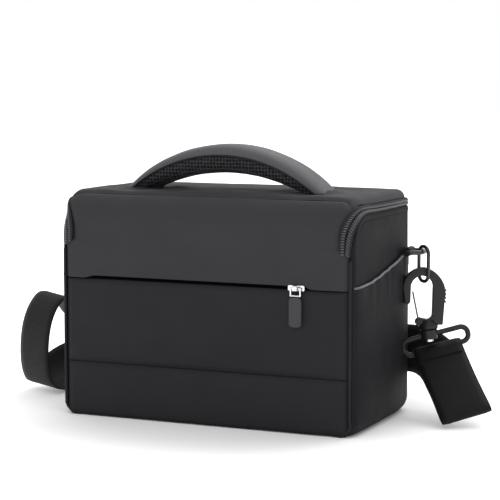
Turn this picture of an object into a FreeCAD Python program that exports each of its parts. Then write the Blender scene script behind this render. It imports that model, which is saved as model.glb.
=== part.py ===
"""Padded camera bag with a front-hinged zipped lid, front zip pocket, side pockets and shoulder strap.

Millimetres, +Z up, +X to the bag's right seen from the front, front face towards -Y.
The origin is the middle of the flat base, on the surface that the bag stands on.
"""
import FreeCAD, Part
import math
import os
import Sketcher

from FreeCAD import Placement, Rotation, Vector

doc = FreeCAD.newDocument("camera_bag")
sheet = doc.addObject("Spreadsheet::Sheet", "Sizes")

SIZES = [
    ("bag_width", 240, "outside width along X"),
    ("bag_depth", 128, "outside depth along Y"),
    ("bag_height", 176, "base to lid top"),
    ("fabric", 1.5, "outer fabric with its backing"),
    ("foam", 7, "wall foam"),
    ("lining", 1, "lining cloth"),
    ("fit_gap", 0.3, "gap between pieces that move apart"),
    ("corner_radius", 7, "upright corners"),
    ("bottom_radius", 12, "bottom edges"),
    ("shoulder_radius", 24, "lid's front shoulder"),
    ("rear_radius", 12, "lid's rear edge"),
    ("hinge_height", 137, "fold line of the lid on the front face"),
    ("zip_height", 166, "main zip's centre line along the sides and back"),
    ("zip_band", 6, "width of the main zip's teeth and tapes"),
    ("pocket_depth", 5.5, "room inside the front pocket"),
    ("pocket_zip_height", 109.5, "front pocket zip's centre line"),
    ("pocket_zip_left", -96, "closed end of the pocket zip"),
    ("pocket_zip_right", 86, "slider end of the pocket zip"),
    ("band_seam_height", 42.5, "seam over the lower front band"),
    ("lid_seam", -49.8, "seam between the lid's top and front panels, along Y"),
    ("side_pocket_front", 111, "side pocket's edge height at the front"),
    ("side_pocket_rear", 126, "side pocket's edge height at the back"),
    ("divider_x", 37, "each divider's distance from the middle"),
    ("divider_thick", 9, "padded divider"),
    ("divider_height", 118, "padded divider"),
    ("handle_left", -84, "handle's left end on the lid"),
    ("handle_right", 84, "handle's right end on the lid"),
    ("handle_peak", 211, "handle's highest point"),
    ("handle_grip", 190, "handle's underside at the middle"),
    ("handle_width", 38, "handle across Y"),
    ("strap_width", 38, "webbing width"),
    ("strap_thick", 1.8, "webbing thickness"),
    ("dring_height", 126, "D-rings above the base"),
    ("dring_y", 47, "D-rings' place along Y"),
    ("wire", 3.6, "D-ring wire thickness"),
]

for row, (alias, value, note) in enumerate(SIZES, start=1):
    sheet.set(f"A{row}", alias)
    sheet.set(f"B{row}", str(value))
    sheet.set(f"C{row}", note)
    sheet.setAlias(f"B{row}", alias)
doc.recompute()

SUB_PARTS = []


def size(alias):
    return float(sheet.get(alias))


def expression(text):
    """Write every alias in the text as a reference to the sheet."""
    for alias in sorted((name for name, _, _ in SIZES), key=len, reverse=True):
        text = text.replace(alias, "\0" + str([n for n, _, _ in SIZES].index(alias)) + "\1")
    for index, (alias, _, _) in enumerate(SIZES):
        text = text.replace(f"\0{index}\1", "Sizes." + alias)
    return text


def keep(item, label):
    """Name a finished sub-part; its label is its file's name."""
    item.Label = label
    SUB_PARTS.append(item)
    return item


def box(name, low, span):
    """A block from its low corner and its spans, all as expressions of the sheet's sizes."""
    item = doc.addObject("Part::Box", name)
    for prop, text in zip(("Length", "Width", "Height"), span):
        item.setExpression(prop, expression(str(text)))
    for axis, text in zip("xyz", low):
        item.setExpression("Placement.Base." + axis, expression(str(text)))
    return item


def value(text):
    """What an expression of the sheet's sizes comes to."""
    return float(sheet.evalExpression(expression(str(text))))


def cylinder(name, radius, length, centre, direction):
    item = doc.addObject("Part::Cylinder", name)
    item.setExpression("Radius", expression(str(radius)))
    item.setExpression("Height", expression(str(length)))
    turn = Rotation(Vector(0, 0, 1), Vector(*direction))
    item.Placement = Placement(Vector(*centre) - Vector(*direction).normalize() * (value(length) / 2), turn)
    return item


def cut(name, base, *tools):
    for number, tool in enumerate(tools):
        item = doc.addObject("Part::Cut", f"{name}_{number}")
        item.Base, item.Tool = base, tool
        base = item
    return base


def common(name, base, *tools):
    for number, tool in enumerate(tools):
        item = doc.addObject("Part::Common", f"{name}_{number}")
        item.Base, item.Tool = base, tool
        base = item
    return base


def fuse(name, *shapes):
    item = doc.addObject("Part::MultiFuse", name)
    item.Shapes = list(shapes)
    return item


def rounded(name, base, radius, direction, test=lambda middle: True):
    """Round the edges that run along a direction and pass the test on their middle point."""
    doc.recompute()
    edges = []
    for number, edge in enumerate(base.Shape.Edges, start=1):
        first, last = edge.Vertexes[0].Point, edge.Vertexes[-1].Point
        along = (last - first).normalize() if (last - first).Length > 1e-6 else Vector()
        if abs(along.dot(Vector(*direction))) > 0.999 and test((first + last) * 0.5):
            edges.append((number, radius, radius))
    item = doc.addObject("Part::Fillet", name)
    item.Base = base
    item.Edges = edges
    return item


def feature(name, shape, place=None):
    item = doc.addObject("Part::Feature", name)
    item.Shape = shape
    item.Placement = place or Placement()
    return item


def prism(name, points, direction, start, end):
    """A closed outline of points and, where a pair of points is given, arcs through them, extruded."""
    edges = []
    here = Vector(*points[0])
    first = here
    for step in points[1:] + [points[0]]:
        if isinstance(step[0], tuple):
            through, there = Vector(*step[0]), Vector(*step[1])
            edges.append(Part.Arc(here, through, there).toShape())
        else:
            there = Vector(*step)
            if (there - here).Length < 1e-7:
                continue
            edges.append(Part.LineSegment(here, there).toShape())
        here = there
    if (here - first).Length > 1e-7:
        edges.append(Part.LineSegment(here, first).toShape())
    face = Part.Face(Part.Wire(edges))
    face.translate(Vector(*direction) * start)
    return feature(name, face.extrude(Vector(*direction) * (end - start)))


# ---------------------------------------------------------------- the padded shell's layers

def envelope(name, inset):
    """The bag's outer form, moved in by a depth: three rounded blocks in common."""
    wide, deep, high = f"bag_width-2*{inset}", f"bag_depth-2*{inset}", f"bag_height-2*{inset}"
    low = (f"-(bag_width/2-{inset})", f"-(bag_depth/2-{inset})", f"{inset}")
    depth = float(sheet.evalExpression(expression(inset)))
    blocks = [box(f"{name}_{view}", low, (wide, deep, high)) for view in ("side", "plan", "front")]
    doc.recompute()
    middle = size("bag_height") / 2
    side = rounded(f"{name}_side_front", blocks[0], size("shoulder_radius") - depth, (1, 0, 0),
                   lambda p: p.z > middle and p.y < 0)
    side = rounded(f"{name}_side_rear", side, size("rear_radius") - depth, (1, 0, 0),
                   lambda p: p.z > middle and p.y > 0)
    plan = rounded(f"{name}_plan_corners", blocks[1], max(1.0, size("corner_radius") - depth), (0, 0, 1))
    front = rounded(f"{name}_front_bottom", blocks[2], max(1.0, size("bottom_radius") - depth), (0, 1, 0),
                    lambda p: p.z < middle)
    front = rounded(f"{name}_front_top", front, max(1.0, size("corner_radius") - depth), (0, 1, 0),
                    lambda p: p.z > middle)
    return common(name, side, plan, front)


outer = envelope("outer", "0")
under_fabric = envelope("under_fabric", "fabric")
under_foam = envelope("under_foam", "(fabric+foam)")
inside = envelope("inside", "(fabric+foam+lining)")

fabric_layer = cut("fabric_layer", outer, under_fabric)
foam_layer = cut("foam_layer", under_fabric, under_foam)
lining_layer = cut("lining_layer", under_foam, inside)

half_w = size("bag_width") / 2
half_d = size("bag_depth") / 2
top = size("bag_height")
hinge_z = size("hinge_height")
zip_z = size("zip_height")
band = size("zip_band")
gap = size("fit_gap")
fabric = size("fabric")
wall = fabric + size("foam") + size("lining")
far = 400


def split_outline(rise, x):
    """The main zip's line seen from the side, moved up or down by a distance: everything above it."""
    radius = zip_z - hinge_z
    corner = -half_d + radius
    lean = math.sqrt(0.5)
    low = (x, -half_d - rise, hinge_z)
    arc = ((x, corner - (radius + rise) * lean, hinge_z + (radius + rise) * lean), (x, corner, zip_z + rise))
    return [(x, -half_d - 60, hinge_z), low, arc, (x, half_d + 60, zip_z + rise),
            (x, half_d + 60, top + 60), (x, -half_d - 60, top + 60)]


def above_zip(name, rise):
    return prism(name, split_outline(rise, 0), (1, 0, 0), -far / 2, far / 2)


over_zip = above_zip("over_zip", band / 2)
lid_front_block = box("lid_front_block", ("-(bag_width/2-9)", "-bag_depth/2-20", "hinge_height+fit_gap"),
                      ("bag_width-18", "52", "60"))
lid_plug = box("lid_plug", ("-(bag_width/2-10)", "-bag_depth/2+fabric", "zip_height-zip_band/2+fit_gap"),
               ("bag_width-20", "bag_depth-fabric-10", "60"))
lid_region = fuse("lid_region", over_zip, lid_front_block, lid_plug)
over_lower = above_zip("over_lower", -band / 2)
lid_clearance = box("lid_clearance", ("-(bag_width/2-9)-fit_gap", "-bag_depth/2-20", "hinge_height"),
                    ("bag_width-18+2*fit_gap", "52+fit_gap", "60"))
not_lower = fuse("not_lower", over_lower, lid_clearance)


def wedge(name, side):
    """One side's share of the plan, cut at 45 degrees through the upright corners."""
    reach = 60
    corners = {
        "front": [(-1, -1), (1, -1)],
        "right": [(1, -1), (1, 1)],
        "back": [(1, 1), (-1, 1)],
        "left": [(-1, 1), (-1, -1)],
    }[side]
    # outside the corner by a reach, then inside it by the same reach
    points = []
    for step in (reach, -reach + 1):
        row = [(sx * (half_w + step), sy * (half_d + step), 0) for sx, sy in corners]
        points += row if step > 0 else row[::-1]
    return prism(name, points, (0, 0, 1), -20, far)


wedges = {side: wedge(f"{side}_wedge", side) for side in ("front", "back", "left", "right")}
base_top = box("base_top", ("-bag_width", "-bag_depth", "-1"), ("2*bag_width", "2*bag_depth", "1+fabric"))
foam_base_top = box("foam_base_top", ("-bag_width", "-bag_depth", "-1"), ("2*bag_width", "2*bag_depth", "1+fabric+foam"))


def lower_panel(label, layer, side, low_z, high_z):
    """One panel of a layer below the main zip, between two heights."""
    level = box(f"{label}_level", ("-bag_width", "-bag_depth", low_z),
                ("2*bag_width", "2*bag_depth", f"{high_z}-({low_z})"))
    return keep(cut(f"{label}_cut", common(f"{label}_side", layer, wedges[side], level), not_lower), label)


# ---------------------------------------------------------------- outer fabric below the zip

seam = "0.25"
lower_panel("front_lower_band", fabric_layer, "front", "fabric", f"band_seam_height-{seam}")
lower_panel("front_pocket_panel", fabric_layer, "front", f"band_seam_height+{seam}", "pocket_zip_height-2.6")
lower_panel("front_upper_strip", fabric_layer, "front", "pocket_zip_height+2.6", "hinge_height")
lower_panel("back_panel", fabric_layer, "back", "fabric", "bag_height")
lower_panel("left_side_panel", fabric_layer, "left", "fabric", "bag_height")
lower_panel("right_side_panel", fabric_layer, "right", "fabric", "bag_height")
keep(common("base_panel_common", fabric_layer, base_top), "base_panel")

# the front foam stands back from the pocket panel by the pocket's depth
pocket_room = box("pocket_room",
                  ("pocket_zip_left-2", "-bag_depth/2+fabric", "band_seam_height"),
                  ("pocket_zip_right-pocket_zip_left+4", "pocket_depth", "pocket_zip_height+4-band_seam_height"))
front_foam = common("front_foam_side", cut("wall_foam", foam_layer, foam_base_top), wedges["front"])
keep(cut("front_foam_cut", front_foam, not_lower, pocket_room), "front_foam")
for side in ("back", "left", "right"):
    lower_panel(f"{side}_foam", foam_layer, side, "fabric+foam", "bag_height")
base_board_block = box("base_board_block", ("-bag_width", "-bag_depth", "fabric"), ("2*bag_width", "2*bag_depth", "2"))
keep(common("base_board_common", foam_layer, base_board_block), "base_board")
base_foam_block = box("base_foam_block", ("-bag_width", "-bag_depth", "fabric+2"),
                      ("2*bag_width", "2*bag_depth", "foam-2"))
keep(common("base_foam_common", foam_layer, base_foam_block), "base_foam")
keep(cut("lining_cut", lining_layer, not_lower), "lining")

# ---------------------------------------------------------------- lid

lid_front_share = box("lid_front_share", ("-bag_width", "-bag_depth", "0"),
                      ("2*bag_width", "bag_depth+lid_seam-0.25", "2*bag_height"))
lid_rear_share = box("lid_rear_share", ("-bag_width", "lid_seam+0.25", "0"),
                     ("2*bag_width", "2*bag_depth", "2*bag_height"))
lid_skirt_share = box("lid_skirt_share", ("-bag_width", "-bag_depth", "0"),
                      ("2*bag_width", "3*bag_depth", "bag_height-4.5"))
lid_fabric = common("lid_fabric", fabric_layer, lid_region)
keep(common("lid_front_common", lid_fabric, lid_front_share), "lid_front_panel")
lid_rear_fabric = common("lid_rear_fabric", lid_fabric, lid_rear_share)
keep(cut("lid_top_cut", lid_rear_fabric, lid_skirt_share), "lid_top_panel")
keep(common("lid_gusset_common", lid_rear_fabric, lid_skirt_share), "lid_gusset")
keep(common("lid_foam_common", foam_layer, lid_region), "lid_foam")
keep(common("lid_lining_common", lining_layer, lid_region), "lid_lining")
keep(box("lid_mesh_block", ("-80", "-30", "bag_height-fabric-foam-lining-1.2"), ("160", "70", "1.2")), "lid_mesh_pocket")

# ---------------------------------------------------------------- main zip's two tapes

front_face_block = box("front_face_block", ("-(bag_width/2-9)-fit_gap", "-bag_depth/2-20", "0"),
                       ("bag_width-18+2*fit_gap", "52+fit_gap", "2*bag_height"))
for name, low, high in (("lower", -band / 2, -gap / 2), ("upper", gap / 2, band / 2)):
    strip = cut(f"zip_{name}_strip", above_zip(f"zip_{name}_from", low), above_zip(f"zip_{name}_to", high))
    keep(cut(f"zip_{name}_cut", common(f"zip_{name}_common", fabric_layer, strip), front_face_block),
         f"main_zip_{name}_tape")

# ---------------------------------------------------------------- front pocket's zip

tape_slot = box("tape_slot", ("-bag_width", "-bag_depth", "pocket_zip_height-0.2"),
                ("2*bag_width", "bag_depth", "0.4"))
tape_level = box("tape_level", ("-bag_width", "-bag_depth", "pocket_zip_height-2.6"),
                 ("2*bag_width", "bag_depth", "5.2"))
keep(cut("pocket_tapes_cut", common("pocket_tapes_common", fabric_layer, wedges["front"], tape_level), tape_slot),
     "pocket_zip_tapes")
keep(box("pocket_coil_block", ("pocket_zip_left", "-bag_depth/2+fabric", "pocket_zip_height-1.2"),
         ("pocket_zip_right-pocket_zip_left", "1.3", "2.4")), "pocket_zip_coil")


def zip_slider(label, x, z, face_y, out, tall):
    """A slider's outer plate with a bridge across it; the puller's bar lies under the bridge along X."""
    near = face_y + out * 0.3
    plate_y = near if out > 0 else near - 1.6
    plate = box(f"{label}_plate", (x - 6.5, plate_y, z - tall / 2), (13, 1.6, tall))
    plate = rounded(f"{label}_plate_round", plate, tall * 0.27, (0, 1, 0))
    bridge_y = near + 1.6 if out > 0 else near - 5.4
    bridge_tall = max(4.4, tall - 1.2)
    bridge = box(f"{label}_bridge", (x - 1.8, bridge_y, z - bridge_tall / 2), (3.6, 3.8, bridge_tall))
    bridge = rounded(f"{label}_bridge_round", bridge, 1.2, (1, 0, 0))
    slot = cylinder(f"{label}_slot", 1.2, 8, (x, near + out * 3.3, z), (1, 0, 0))
    return keep(fuse(f"{label}_fuse", plate, cut(f"{label}_bridge_cut", bridge, slot)), label)


def wire_frame(label, x, y, z_high, z_low, wide, thick):
    """A rectangular wire frame that hangs from its top bar."""
    half = wide / 2
    bars = [cylinder(f"{label}_top", thick / 2, wide, (x, y, z_high), (1, 0, 0)),
            cylinder(f"{label}_bottom", thick / 2, wide, (x, y, z_low), (1, 0, 0))]
    tall = z_high - z_low
    for side in (-1, 1):
        bars.append(cylinder(f"{label}_leg{side + 1}", thick / 2, tall, (x + side * half, y, (z_high + z_low) / 2),
                             (0, 0, 1)))
        for name, z in (("high", z_high), ("low", z_low)):
            ball = doc.addObject("Part::Sphere", f"{label}_corner{side + 1}{name}")
            ball.Radius = thick / 2
            ball.Placement.Base = Vector(x + side * half, y, z)
            bars.append(ball)
    return keep(fuse(f"{label}_fuse", *bars), label)


def body_slab(label, wide, tall, thick, place, radius):
    """A padded or moulded slab: a sketched rectangle in its own XZ plane, padded along Y and rounded."""
    body = doc.addObject("PartDesign::Body", label + "_body")
    sketch = body.newObject("Sketcher::SketchObject", label + "_outline")
    plane = [f for f in body.Origin.OriginFeatures if f.Role == "XZ_Plane"][0]
    sketch.AttachmentSupport = [(plane, "")]
    sketch.MapMode = "FlatFace"
    wide_now = float(sheet.evalExpression(expression(wide)))
    tall_now = float(sheet.evalExpression(expression(tall)))
    corners = [Vector(0, 0, 0), Vector(wide_now, 0, 0), Vector(wide_now, tall_now, 0), Vector(0, tall_now, 0)]
    for number in range(4):
        sketch.addGeometry(Part.LineSegment(corners[number], corners[(number + 1) % 4]), False)
    for number in range(4):
        sketch.addConstraint(Sketcher.Constraint("Coincident", number, 2, (number + 1) % 4, 1))
    for number, kind in enumerate(("Horizontal", "Vertical", "Horizontal", "Vertical")):
        sketch.addConstraint(Sketcher.Constraint(kind, number))
    sketch.addConstraint(Sketcher.Constraint("Coincident", 0, 1, -1, 1))
    across = sketch.addConstraint(Sketcher.Constraint("DistanceX", 0, 1, 0, 2, wide_now))
    upright = sketch.addConstraint(Sketcher.Constraint("DistanceY", 1, 1, 1, 2, tall_now))
    sketch.setExpression(f"Constraints[{across}]", expression(wide))
    sketch.setExpression(f"Constraints[{upright}]", expression(tall))
    pad = body.newObject("PartDesign::Pad", label + "_pad")
    pad.Profile = sketch
    pad.setExpression("Length", expression(thick))
    pad.Midplane = True
    doc.recompute()
    if radius:
        edges = []
        for number, edge in enumerate(pad.Shape.Edges, start=1):
            step = edge.Vertexes[-1].Point - edge.Vertexes[0].Point
            if abs(step.y) > 1e-3 and abs(step.x) < 1e-3 and abs(step.z) < 1e-3:
                edges.append(f"Edge{number}")
        round_off = body.newObject("PartDesign::Fillet", label + "_round")
        round_off.Base = (pad, edges)
        round_off.Radius = radius
    body.Placement = place
    return keep(body, label)


front_y = -half_d
slider_x = size("pocket_zip_right") - 8.5
slider_z = size("pocket_zip_height")
bar_y = front_y - 0.3 - 3.3
zip_slider("pocket_zip_slider", slider_x, slider_z, front_y, -1, 4.0)
wire_frame("pocket_puller_ring", slider_x, bar_y, slider_z, slider_z - 5.6, 7.6, 1.3)
body_slab("pocket_pull_tab", "9.5", "22", "2",
          Placement(Vector(slider_x - 4.75, bar_y, slider_z - 28.7), Rotation()), 3)
for side, sign in (("left", -1), ("right", 1)):
    x = sign * 11
    back_bar_y = half_d + 0.3 + 3.3
    zip_slider(f"{side}_main_slider", x, zip_z, half_d, 1, 8.0)
    wire_frame(f"{side}_puller_ring", x, back_bar_y, zip_z, zip_z - 7.4, 5.6, 1.3)
    body_slab(f"{side}_pull_tab", "7", "24", "2", Placement(Vector(x - 3.5, back_bar_y, zip_z - 32.5), Rotation()), 2.4)

# ---------------------------------------------------------------- side pockets, pipings, dividers

pocket_y = half_d - 8


def edge_line(x, rise):
    """The side pocket's upper edge, from front to back, moved up by a distance."""
    front_z = size("side_pocket_front") + rise
    rear_z = size("side_pocket_rear") + rise
    return (x, -pocket_y, front_z), ((x, 0, (front_z + rear_z) / 2 - 3), (x, pocket_y, rear_z))


elastics = []
for side, sign in (("left", -1), ("right", 1)):
    start, step = edge_line(0, 0)
    bottom = size("bottom_radius") + 3
    near, away = sorted((sign * half_w, sign * (half_w + 1.2)))
    # the D-ring's tab comes down to the side panel through a notch in the pocket's edge
    notch = box(f"{side}_tab_notch", (sign * (half_w + 3) - 3, size("dring_y") - 6.8, size("dring_height") - 9.3),
                (6, 13.6, 40))
    cloth = prism(f"{side}_pocket_prism", [(0, pocket_y, bottom), (0, -pocket_y, bottom), start, step],
                  (1, 0, 0), near, away)
    keep(cut(f"{side}_pocket_cut", cloth, notch), f"{side}_side_pocket")
    # the elastic edge stands over the pocket's cloth
    high_start, high_step = edge_line(0, 2.6)
    through, last = high_step
    near, away = sorted((sign * half_w, sign * (half_w + 2)))
    binding = [start, step, last, (through, high_start)]
    elastics.append(cut(f"{side}_binding_cut", prism(f"{side}_binding_prism", binding, (1, 0, 0), near, away), notch))
keep(fuse("elastics_group", *elastics), "side_pocket_elastics")

pipes = []
corner_out = size("corner_radius") + 1.3
for sx in (-1, 1):
    for sy in (-1, 1):
        reach = corner_out * math.sqrt(0.5) - size("corner_radius")
        low, high = 14, (hinge_z - 2 if sy < 0 else zip_z - band - 2)
        pipes.append(cylinder(f"piping{sx + 1}{sy + 1}", 1.2, high - low,
                              (sx * (half_w + reach), sy * (half_d + reach), (low + high) / 2), (0, 0, 1)))
keep(fuse("piping_group", *pipes), "corner_piping")

divider_y = half_d - wall - 0.5
for side, sign in (("left", -1), ("right", 1)):
    place = Placement(Vector(sign * size("divider_x"), -divider_y, wall + gap), Rotation(Vector(0, 0, 1), 90))
    body_slab(f"{side}_divider", f"{2 * divider_y}", "divider_height", "divider_thick", place, 8)

# ---------------------------------------------------------------- carrying handle on the lid

handle_y = -11
ends = (size("handle_left"), size("handle_right"))
crown = (ends[0] + ends[1]) / 2
half_handle = size("handle_width") / 2


def handle_layer(label, upper_inset, upper_crown, lower_inset, lower_crown):
    """A curved strip of the arch between two arcs that end on the lid."""
    def at(x, z):
        return (x, 0, z)
    outline = [at(ends[0] + upper_inset, top),
               (at(crown, upper_crown), at(ends[1] - upper_inset, top)),
               at(ends[1] - lower_inset, top),
               (at(crown, lower_crown), at(ends[0] + lower_inset, top))]
    return keep(prism(f"{label}_prism", outline, (0, 1, 0), handle_y - half_handle, handle_y + half_handle), label)


peak, grip = size("handle_peak"), size("handle_grip")
handle_layer("handle_cover", 0, peak, 2.4, peak - 1.5)
handle_layer("handle_core", 2.4, peak - 1.5, 11, grip + 2)
handle_layer("handle_air_mesh", 11, grip + 2, 13.5, grip)

# ---------------------------------------------------------------- strap hardware, right side then mirrored

UP = Vector(0, 0, 1)
ACROSS = Vector(0.915, 0.403, 0).normalize()      # the hook's own sideways direction
THROUGH = Vector(-0.403, 0.915, 0).normalize()    # square to the hook's flat side
HANG = Vector(138.5, size("dring_y"), 0)          # plan position of the D-ring's outer wire
ring_z = size("dring_height") + 2
wire = size("wire")
web = size("strap_width")
thick = size("strap_thick")


def hook_point(across, height, through=0):
    return HANG + ACROSS * across + UP * height + THROUGH * through


def rounded_path(points, radii, closed=True):
    """A wire through points with tangent arcs at its corners."""
    count = len(points)
    edges, spots = [], []
    for number, (corner, radius) in enumerate(zip(points, radii)):
        if not closed and number in (0, count - 1):
            spots.append((corner, None, corner))
            continue
        back = (points[number - 1] - corner).normalize()
        ahead = (points[(number + 1) % count] - corner).normalize()
        half = back.getAngle(ahead) / 2
        trim = radius / math.tan(half)
        bisector = (back + ahead).normalize()
        centre = corner + bisector * (radius / math.sin(half))
        spots.append((corner + back * trim, centre - bisector * radius, corner + ahead * trim))
    for number in range(count):
        start, through, end = spots[number]
        if through is not None:
            edges.append(Part.Arc(start, through, end).toShape())
        if number + 1 < count or closed:
            ahead = spots[(number + 1) % count][0]
            if (ahead - end).Length > 1e-6:
                edges.append(Part.LineSegment(end, ahead).toShape())
    return Part.Wire(edges)


def bent_wire(points, radii, diameter, closed=True):
    path = rounded_path(points, radii, closed)
    first = path.Edges[0]
    start = first.valueAt(first.FirstParameter)
    tangent = first.tangentAt(first.FirstParameter)
    profile = Part.Wire(Part.makeCircle(diameter / 2, start, tangent))
    return path.makePipeShell([profile], True, False)


def rod(start, end, radius):
    return Part.makeCylinder(radius, (end - start).Length, start, end - start)


def plate(points, thickness):
    """An outline in the hook's plane, of corners and arcs, given a thickness through it."""
    edges = []
    here = hook_point(*points[0], -thickness / 2)
    first = here
    for step in points[1:]:
        if isinstance(step[0], tuple):
            middle = hook_point(*step[0], -thickness / 2)
            there = hook_point(*step[1], -thickness / 2)
            edges.append(Part.Arc(here, middle, there).toShape())
        else:
            there = hook_point(*step, -thickness / 2)
            edges.append(Part.LineSegment(here, there).toShape())
        here = there
    edges.append(Part.LineSegment(here, first).toShape())
    return Part.Face(Part.Wire(edges)).extrude(THROUGH * thickness)


# the swivel's axis runs from the strap loop up to where the link crosses the D-ring
pivot_low = hook_point(4.7, 62)
pivot_high = hook_point(0, ring_z)
SWIVEL = (pivot_high - pivot_low).normalize()


def along_swivel(height):
    return pivot_low + SWIVEL * ((height - pivot_low.z) / SWIVEL.z)


def dring_tab():
    bar = Vector(126.5, size("dring_y"), ring_z)
    half_y = 6.5
    tube = rod(bar - Vector(0, half_y, 0), bar + Vector(0, half_y, 0), 3.6)
    bore = rod(bar - Vector(0, half_y + 1, 0), bar + Vector(0, half_y + 1, 0), wire / 2 + 0.3)
    strip = Part.makeBox(4.2, 2 * half_y, 10, Vector(half_w, bar.y - half_y, ring_z - 11))
    return tube.fuse(strip).cut(bore).removeSplitter()


def dring():
    y, reach = size("dring_y"), 10
    corners = [Vector(126.5, y - reach, ring_z), Vector(HANG.x, y - reach, ring_z),
               Vector(HANG.x, y + reach, ring_z), Vector(126.5, y + reach, ring_z)]
    return bent_wire(corners, [2.4, 8.5, 8.5, 2.4], wire)


def link():
    across = Vector(-0.78, 0.626, 0).normalize()
    link_wire, reach = 2.8, 6.7
    low, high = 105.0, ring_z + wire / 2 + 1.1 + link_wire / 2
    corners = [HANG + across * u + UP * z for u, z in ((-reach, low), (reach, low), (reach, high), (-reach, high))]
    return bent_wire(corners, [6.2] * 4, link_wire)


def hook():
    outline = [(15.2, 71), (16.6, 90), ((12.6, 108.6), (1, 116)), ((-11.8, 111), (-16.2, 100)), (-15, 89),
               ((-12.4, 87.2), (-10.2, 89.5)), (-9.8, 102), ((-6.6, 107.4), (-1, 109.6)), ((4.6, 107), (7, 99)),
               (6.6, 80), ((5.4, 76.6), (2.5, 75.4)), (-1.2, 76.2), ((-5.4, 75.6), (-6.6, 72.4)), (-5.4, 71)]
    body = plate(outline, 7)
    collar = Part.makeCylinder(7.4, 4.6, along_swivel(67.3), SWIVEL)
    pin_bore = Part.makeCylinder(2.2, 9, along_swivel(66), SWIVEL)
    slot = plate([(-9, 70.9), (-9, 98), (-1.6, 98), (-1.6, 71.9), (-3, 70.9)], 3.9)
    pin_hole = rod(hook_point(-3.6, 73.6, -4), hook_point(-3.6, 73.6, 4), 0.9)
    return body.fuse(collar).cut(pin_bore).cut(slot).cut(pin_hole).removeSplitter()




def gate():
    foot, tip = (-3.6, 73.6), (-8.2, 96.4)
    corners = [hook_point(*foot, -1.45), hook_point(*foot, 1.45), hook_point(*tip, 1.45), hook_point(*tip, -1.45)]
    return bent_wire(corners, [0.75, 0.75, 1.2, 1.2], 0.9)


def swivel_pin():
    shaft = Part.makeCylinder(2.2, 14.6, along_swivel(59.7), SWIVEL)
    head = Part.makeCylinder(3.6, 1.9, along_swivel(57.9), SWIVEL)
    return shaft.fuse(head).removeSplitter()


LOOP_ALONG = (ACROSS * math.cos(math.radians(15)) + UP * math.sin(math.radians(15))).normalize()
LOOP_UP = (UP * math.cos(math.radians(15)) - ACROSS * math.sin(math.radians(15))).normalize()
LOOP_MIDDLE = hook_point(9.9, 58)
loop_wire = 4.2
loop_half = 5.9


def strap_loop():
    corners = [LOOP_MIDDLE + LOOP_ALONG * x + LOOP_UP * z
               for x, z in ((-26, -loop_half), (26, -loop_half), (26, loop_half), (-26, loop_half))]
    frame = bent_wire(corners, [5.4] * 4, loop_wire)
    boss = Part.makeCylinder(6.6, 7, along_swivel(60), SWIVEL)
    bore = Part.makeCylinder(2.25, 30, along_swivel(50), SWIVEL)
    return frame.fuse(boss).cut(bore).removeSplitter()


def both_sides(shape):
    return Part.Compound([shape, shape.mirror(Vector(), Vector(1, 0, 0))])


keep(feature("dring_tabs_shape", both_sides(dring_tab())), "dring_tabs")
STRAP_PARTS = {"dring": dring, "link": link, "snap_hook": hook, "hook_gate": gate,
               "swivel_pin": swivel_pin, "strap_loop": strap_loop}
for name, make in STRAP_PARTS.items():
    shape = make()
    keep(feature(f"right_{name}_shape", shape), f"right_{name}")
    keep(feature(f"left_{name}_shape", shape.mirror(Vector(), Vector(1, 0, 0))), f"left_{name}")

# ---------------------------------------------------------------- shoulder strap

BAR = LOOP_MIDDLE - LOOP_UP * loop_half            # the loop's lower bar, which the webbing goes round
fold_reach = loop_wire / 2 + 0.3 + thick / 2       # from the bar's middle to the webbing's


def mirrored(vector):
    return Vector(-vector.x, vector.y, vector.z)


LEFT_BAR = mirrored(BAR)
LEFT_ALONG = mirrored(LOOP_ALONG)

# the webbing's route from the right loop to the left one: each point with its width's direction
ROUTE = [
    ((149.1, 49.5, 54.8), (0.884, 0.389, 0.259)),
    ((163.0, 32.0, 38.0), (0.884, 0.389, 0.259)),
    ((178.0, 14.0, 22.0), (0.874, 0.389, 0.290)),
    ((190.0, 1.0, 9.5), (0.880, 0.374, 0.290)),
    ((183.0, 15.0, 7.6), (0.880, 0.374, 0.290)),
    ((166.0, 38.0, 27.0), (0.800, 0.380, 0.460)),
    ((142.0, 66.0, 45.0), (0.420, 0.250, 0.870)),
    ((112.0, 81.0, 48.0), (0.080, 0.060, 0.990)),
    ((72.0, 83.0, 34.0), (0.120, 0.000, 0.990)),
    ((28.0, 80.0, 24.5), (0.060, 0.000, 0.998)),
    ((-18.0, 80.5, 22.5), (0.000, 0.000, 1.000)),
    ((-64.0, 82.0, 22.0), (0.000, 0.000, 1.000)),
    ((-108.0, 90.0, 22.0), (0.000, 0.000, 1.000)),
    ((-146.0, 86.0, 20.5), (-0.100, 0.100, 0.990)),
    ((-175.0, 64.0, 20.0), (-0.200, 0.100, 0.970)),
    ((-184.0, 40.0, 14.0), (-0.600, 0.250, 0.760)),
    ((-181.0, 14.0, 1.5), (-0.925, 0.380, 0.000)),
    ((-183.5, -4.0, 18.0), (-0.925, 0.380, 0.000)),
    ((-182.0, -3.0, 62.0), (-0.925, 0.380, 0.000)),
    ((-174.5, 13.0, 86.0), (-0.910, 0.410, 0.050)),
    ((-168.0, 25.0, 74.0), (-0.900, 0.430, 0.100)),
    ((-161.5, 31.0, 59.5), (-0.884, 0.420, 0.220)),
    ((-153.4, 40.0, 56.4), (-0.884, 0.389, 0.259)),
    ((-148.2, 51.3, 55.5), (-0.884, 0.389, 0.259)),
]


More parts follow.
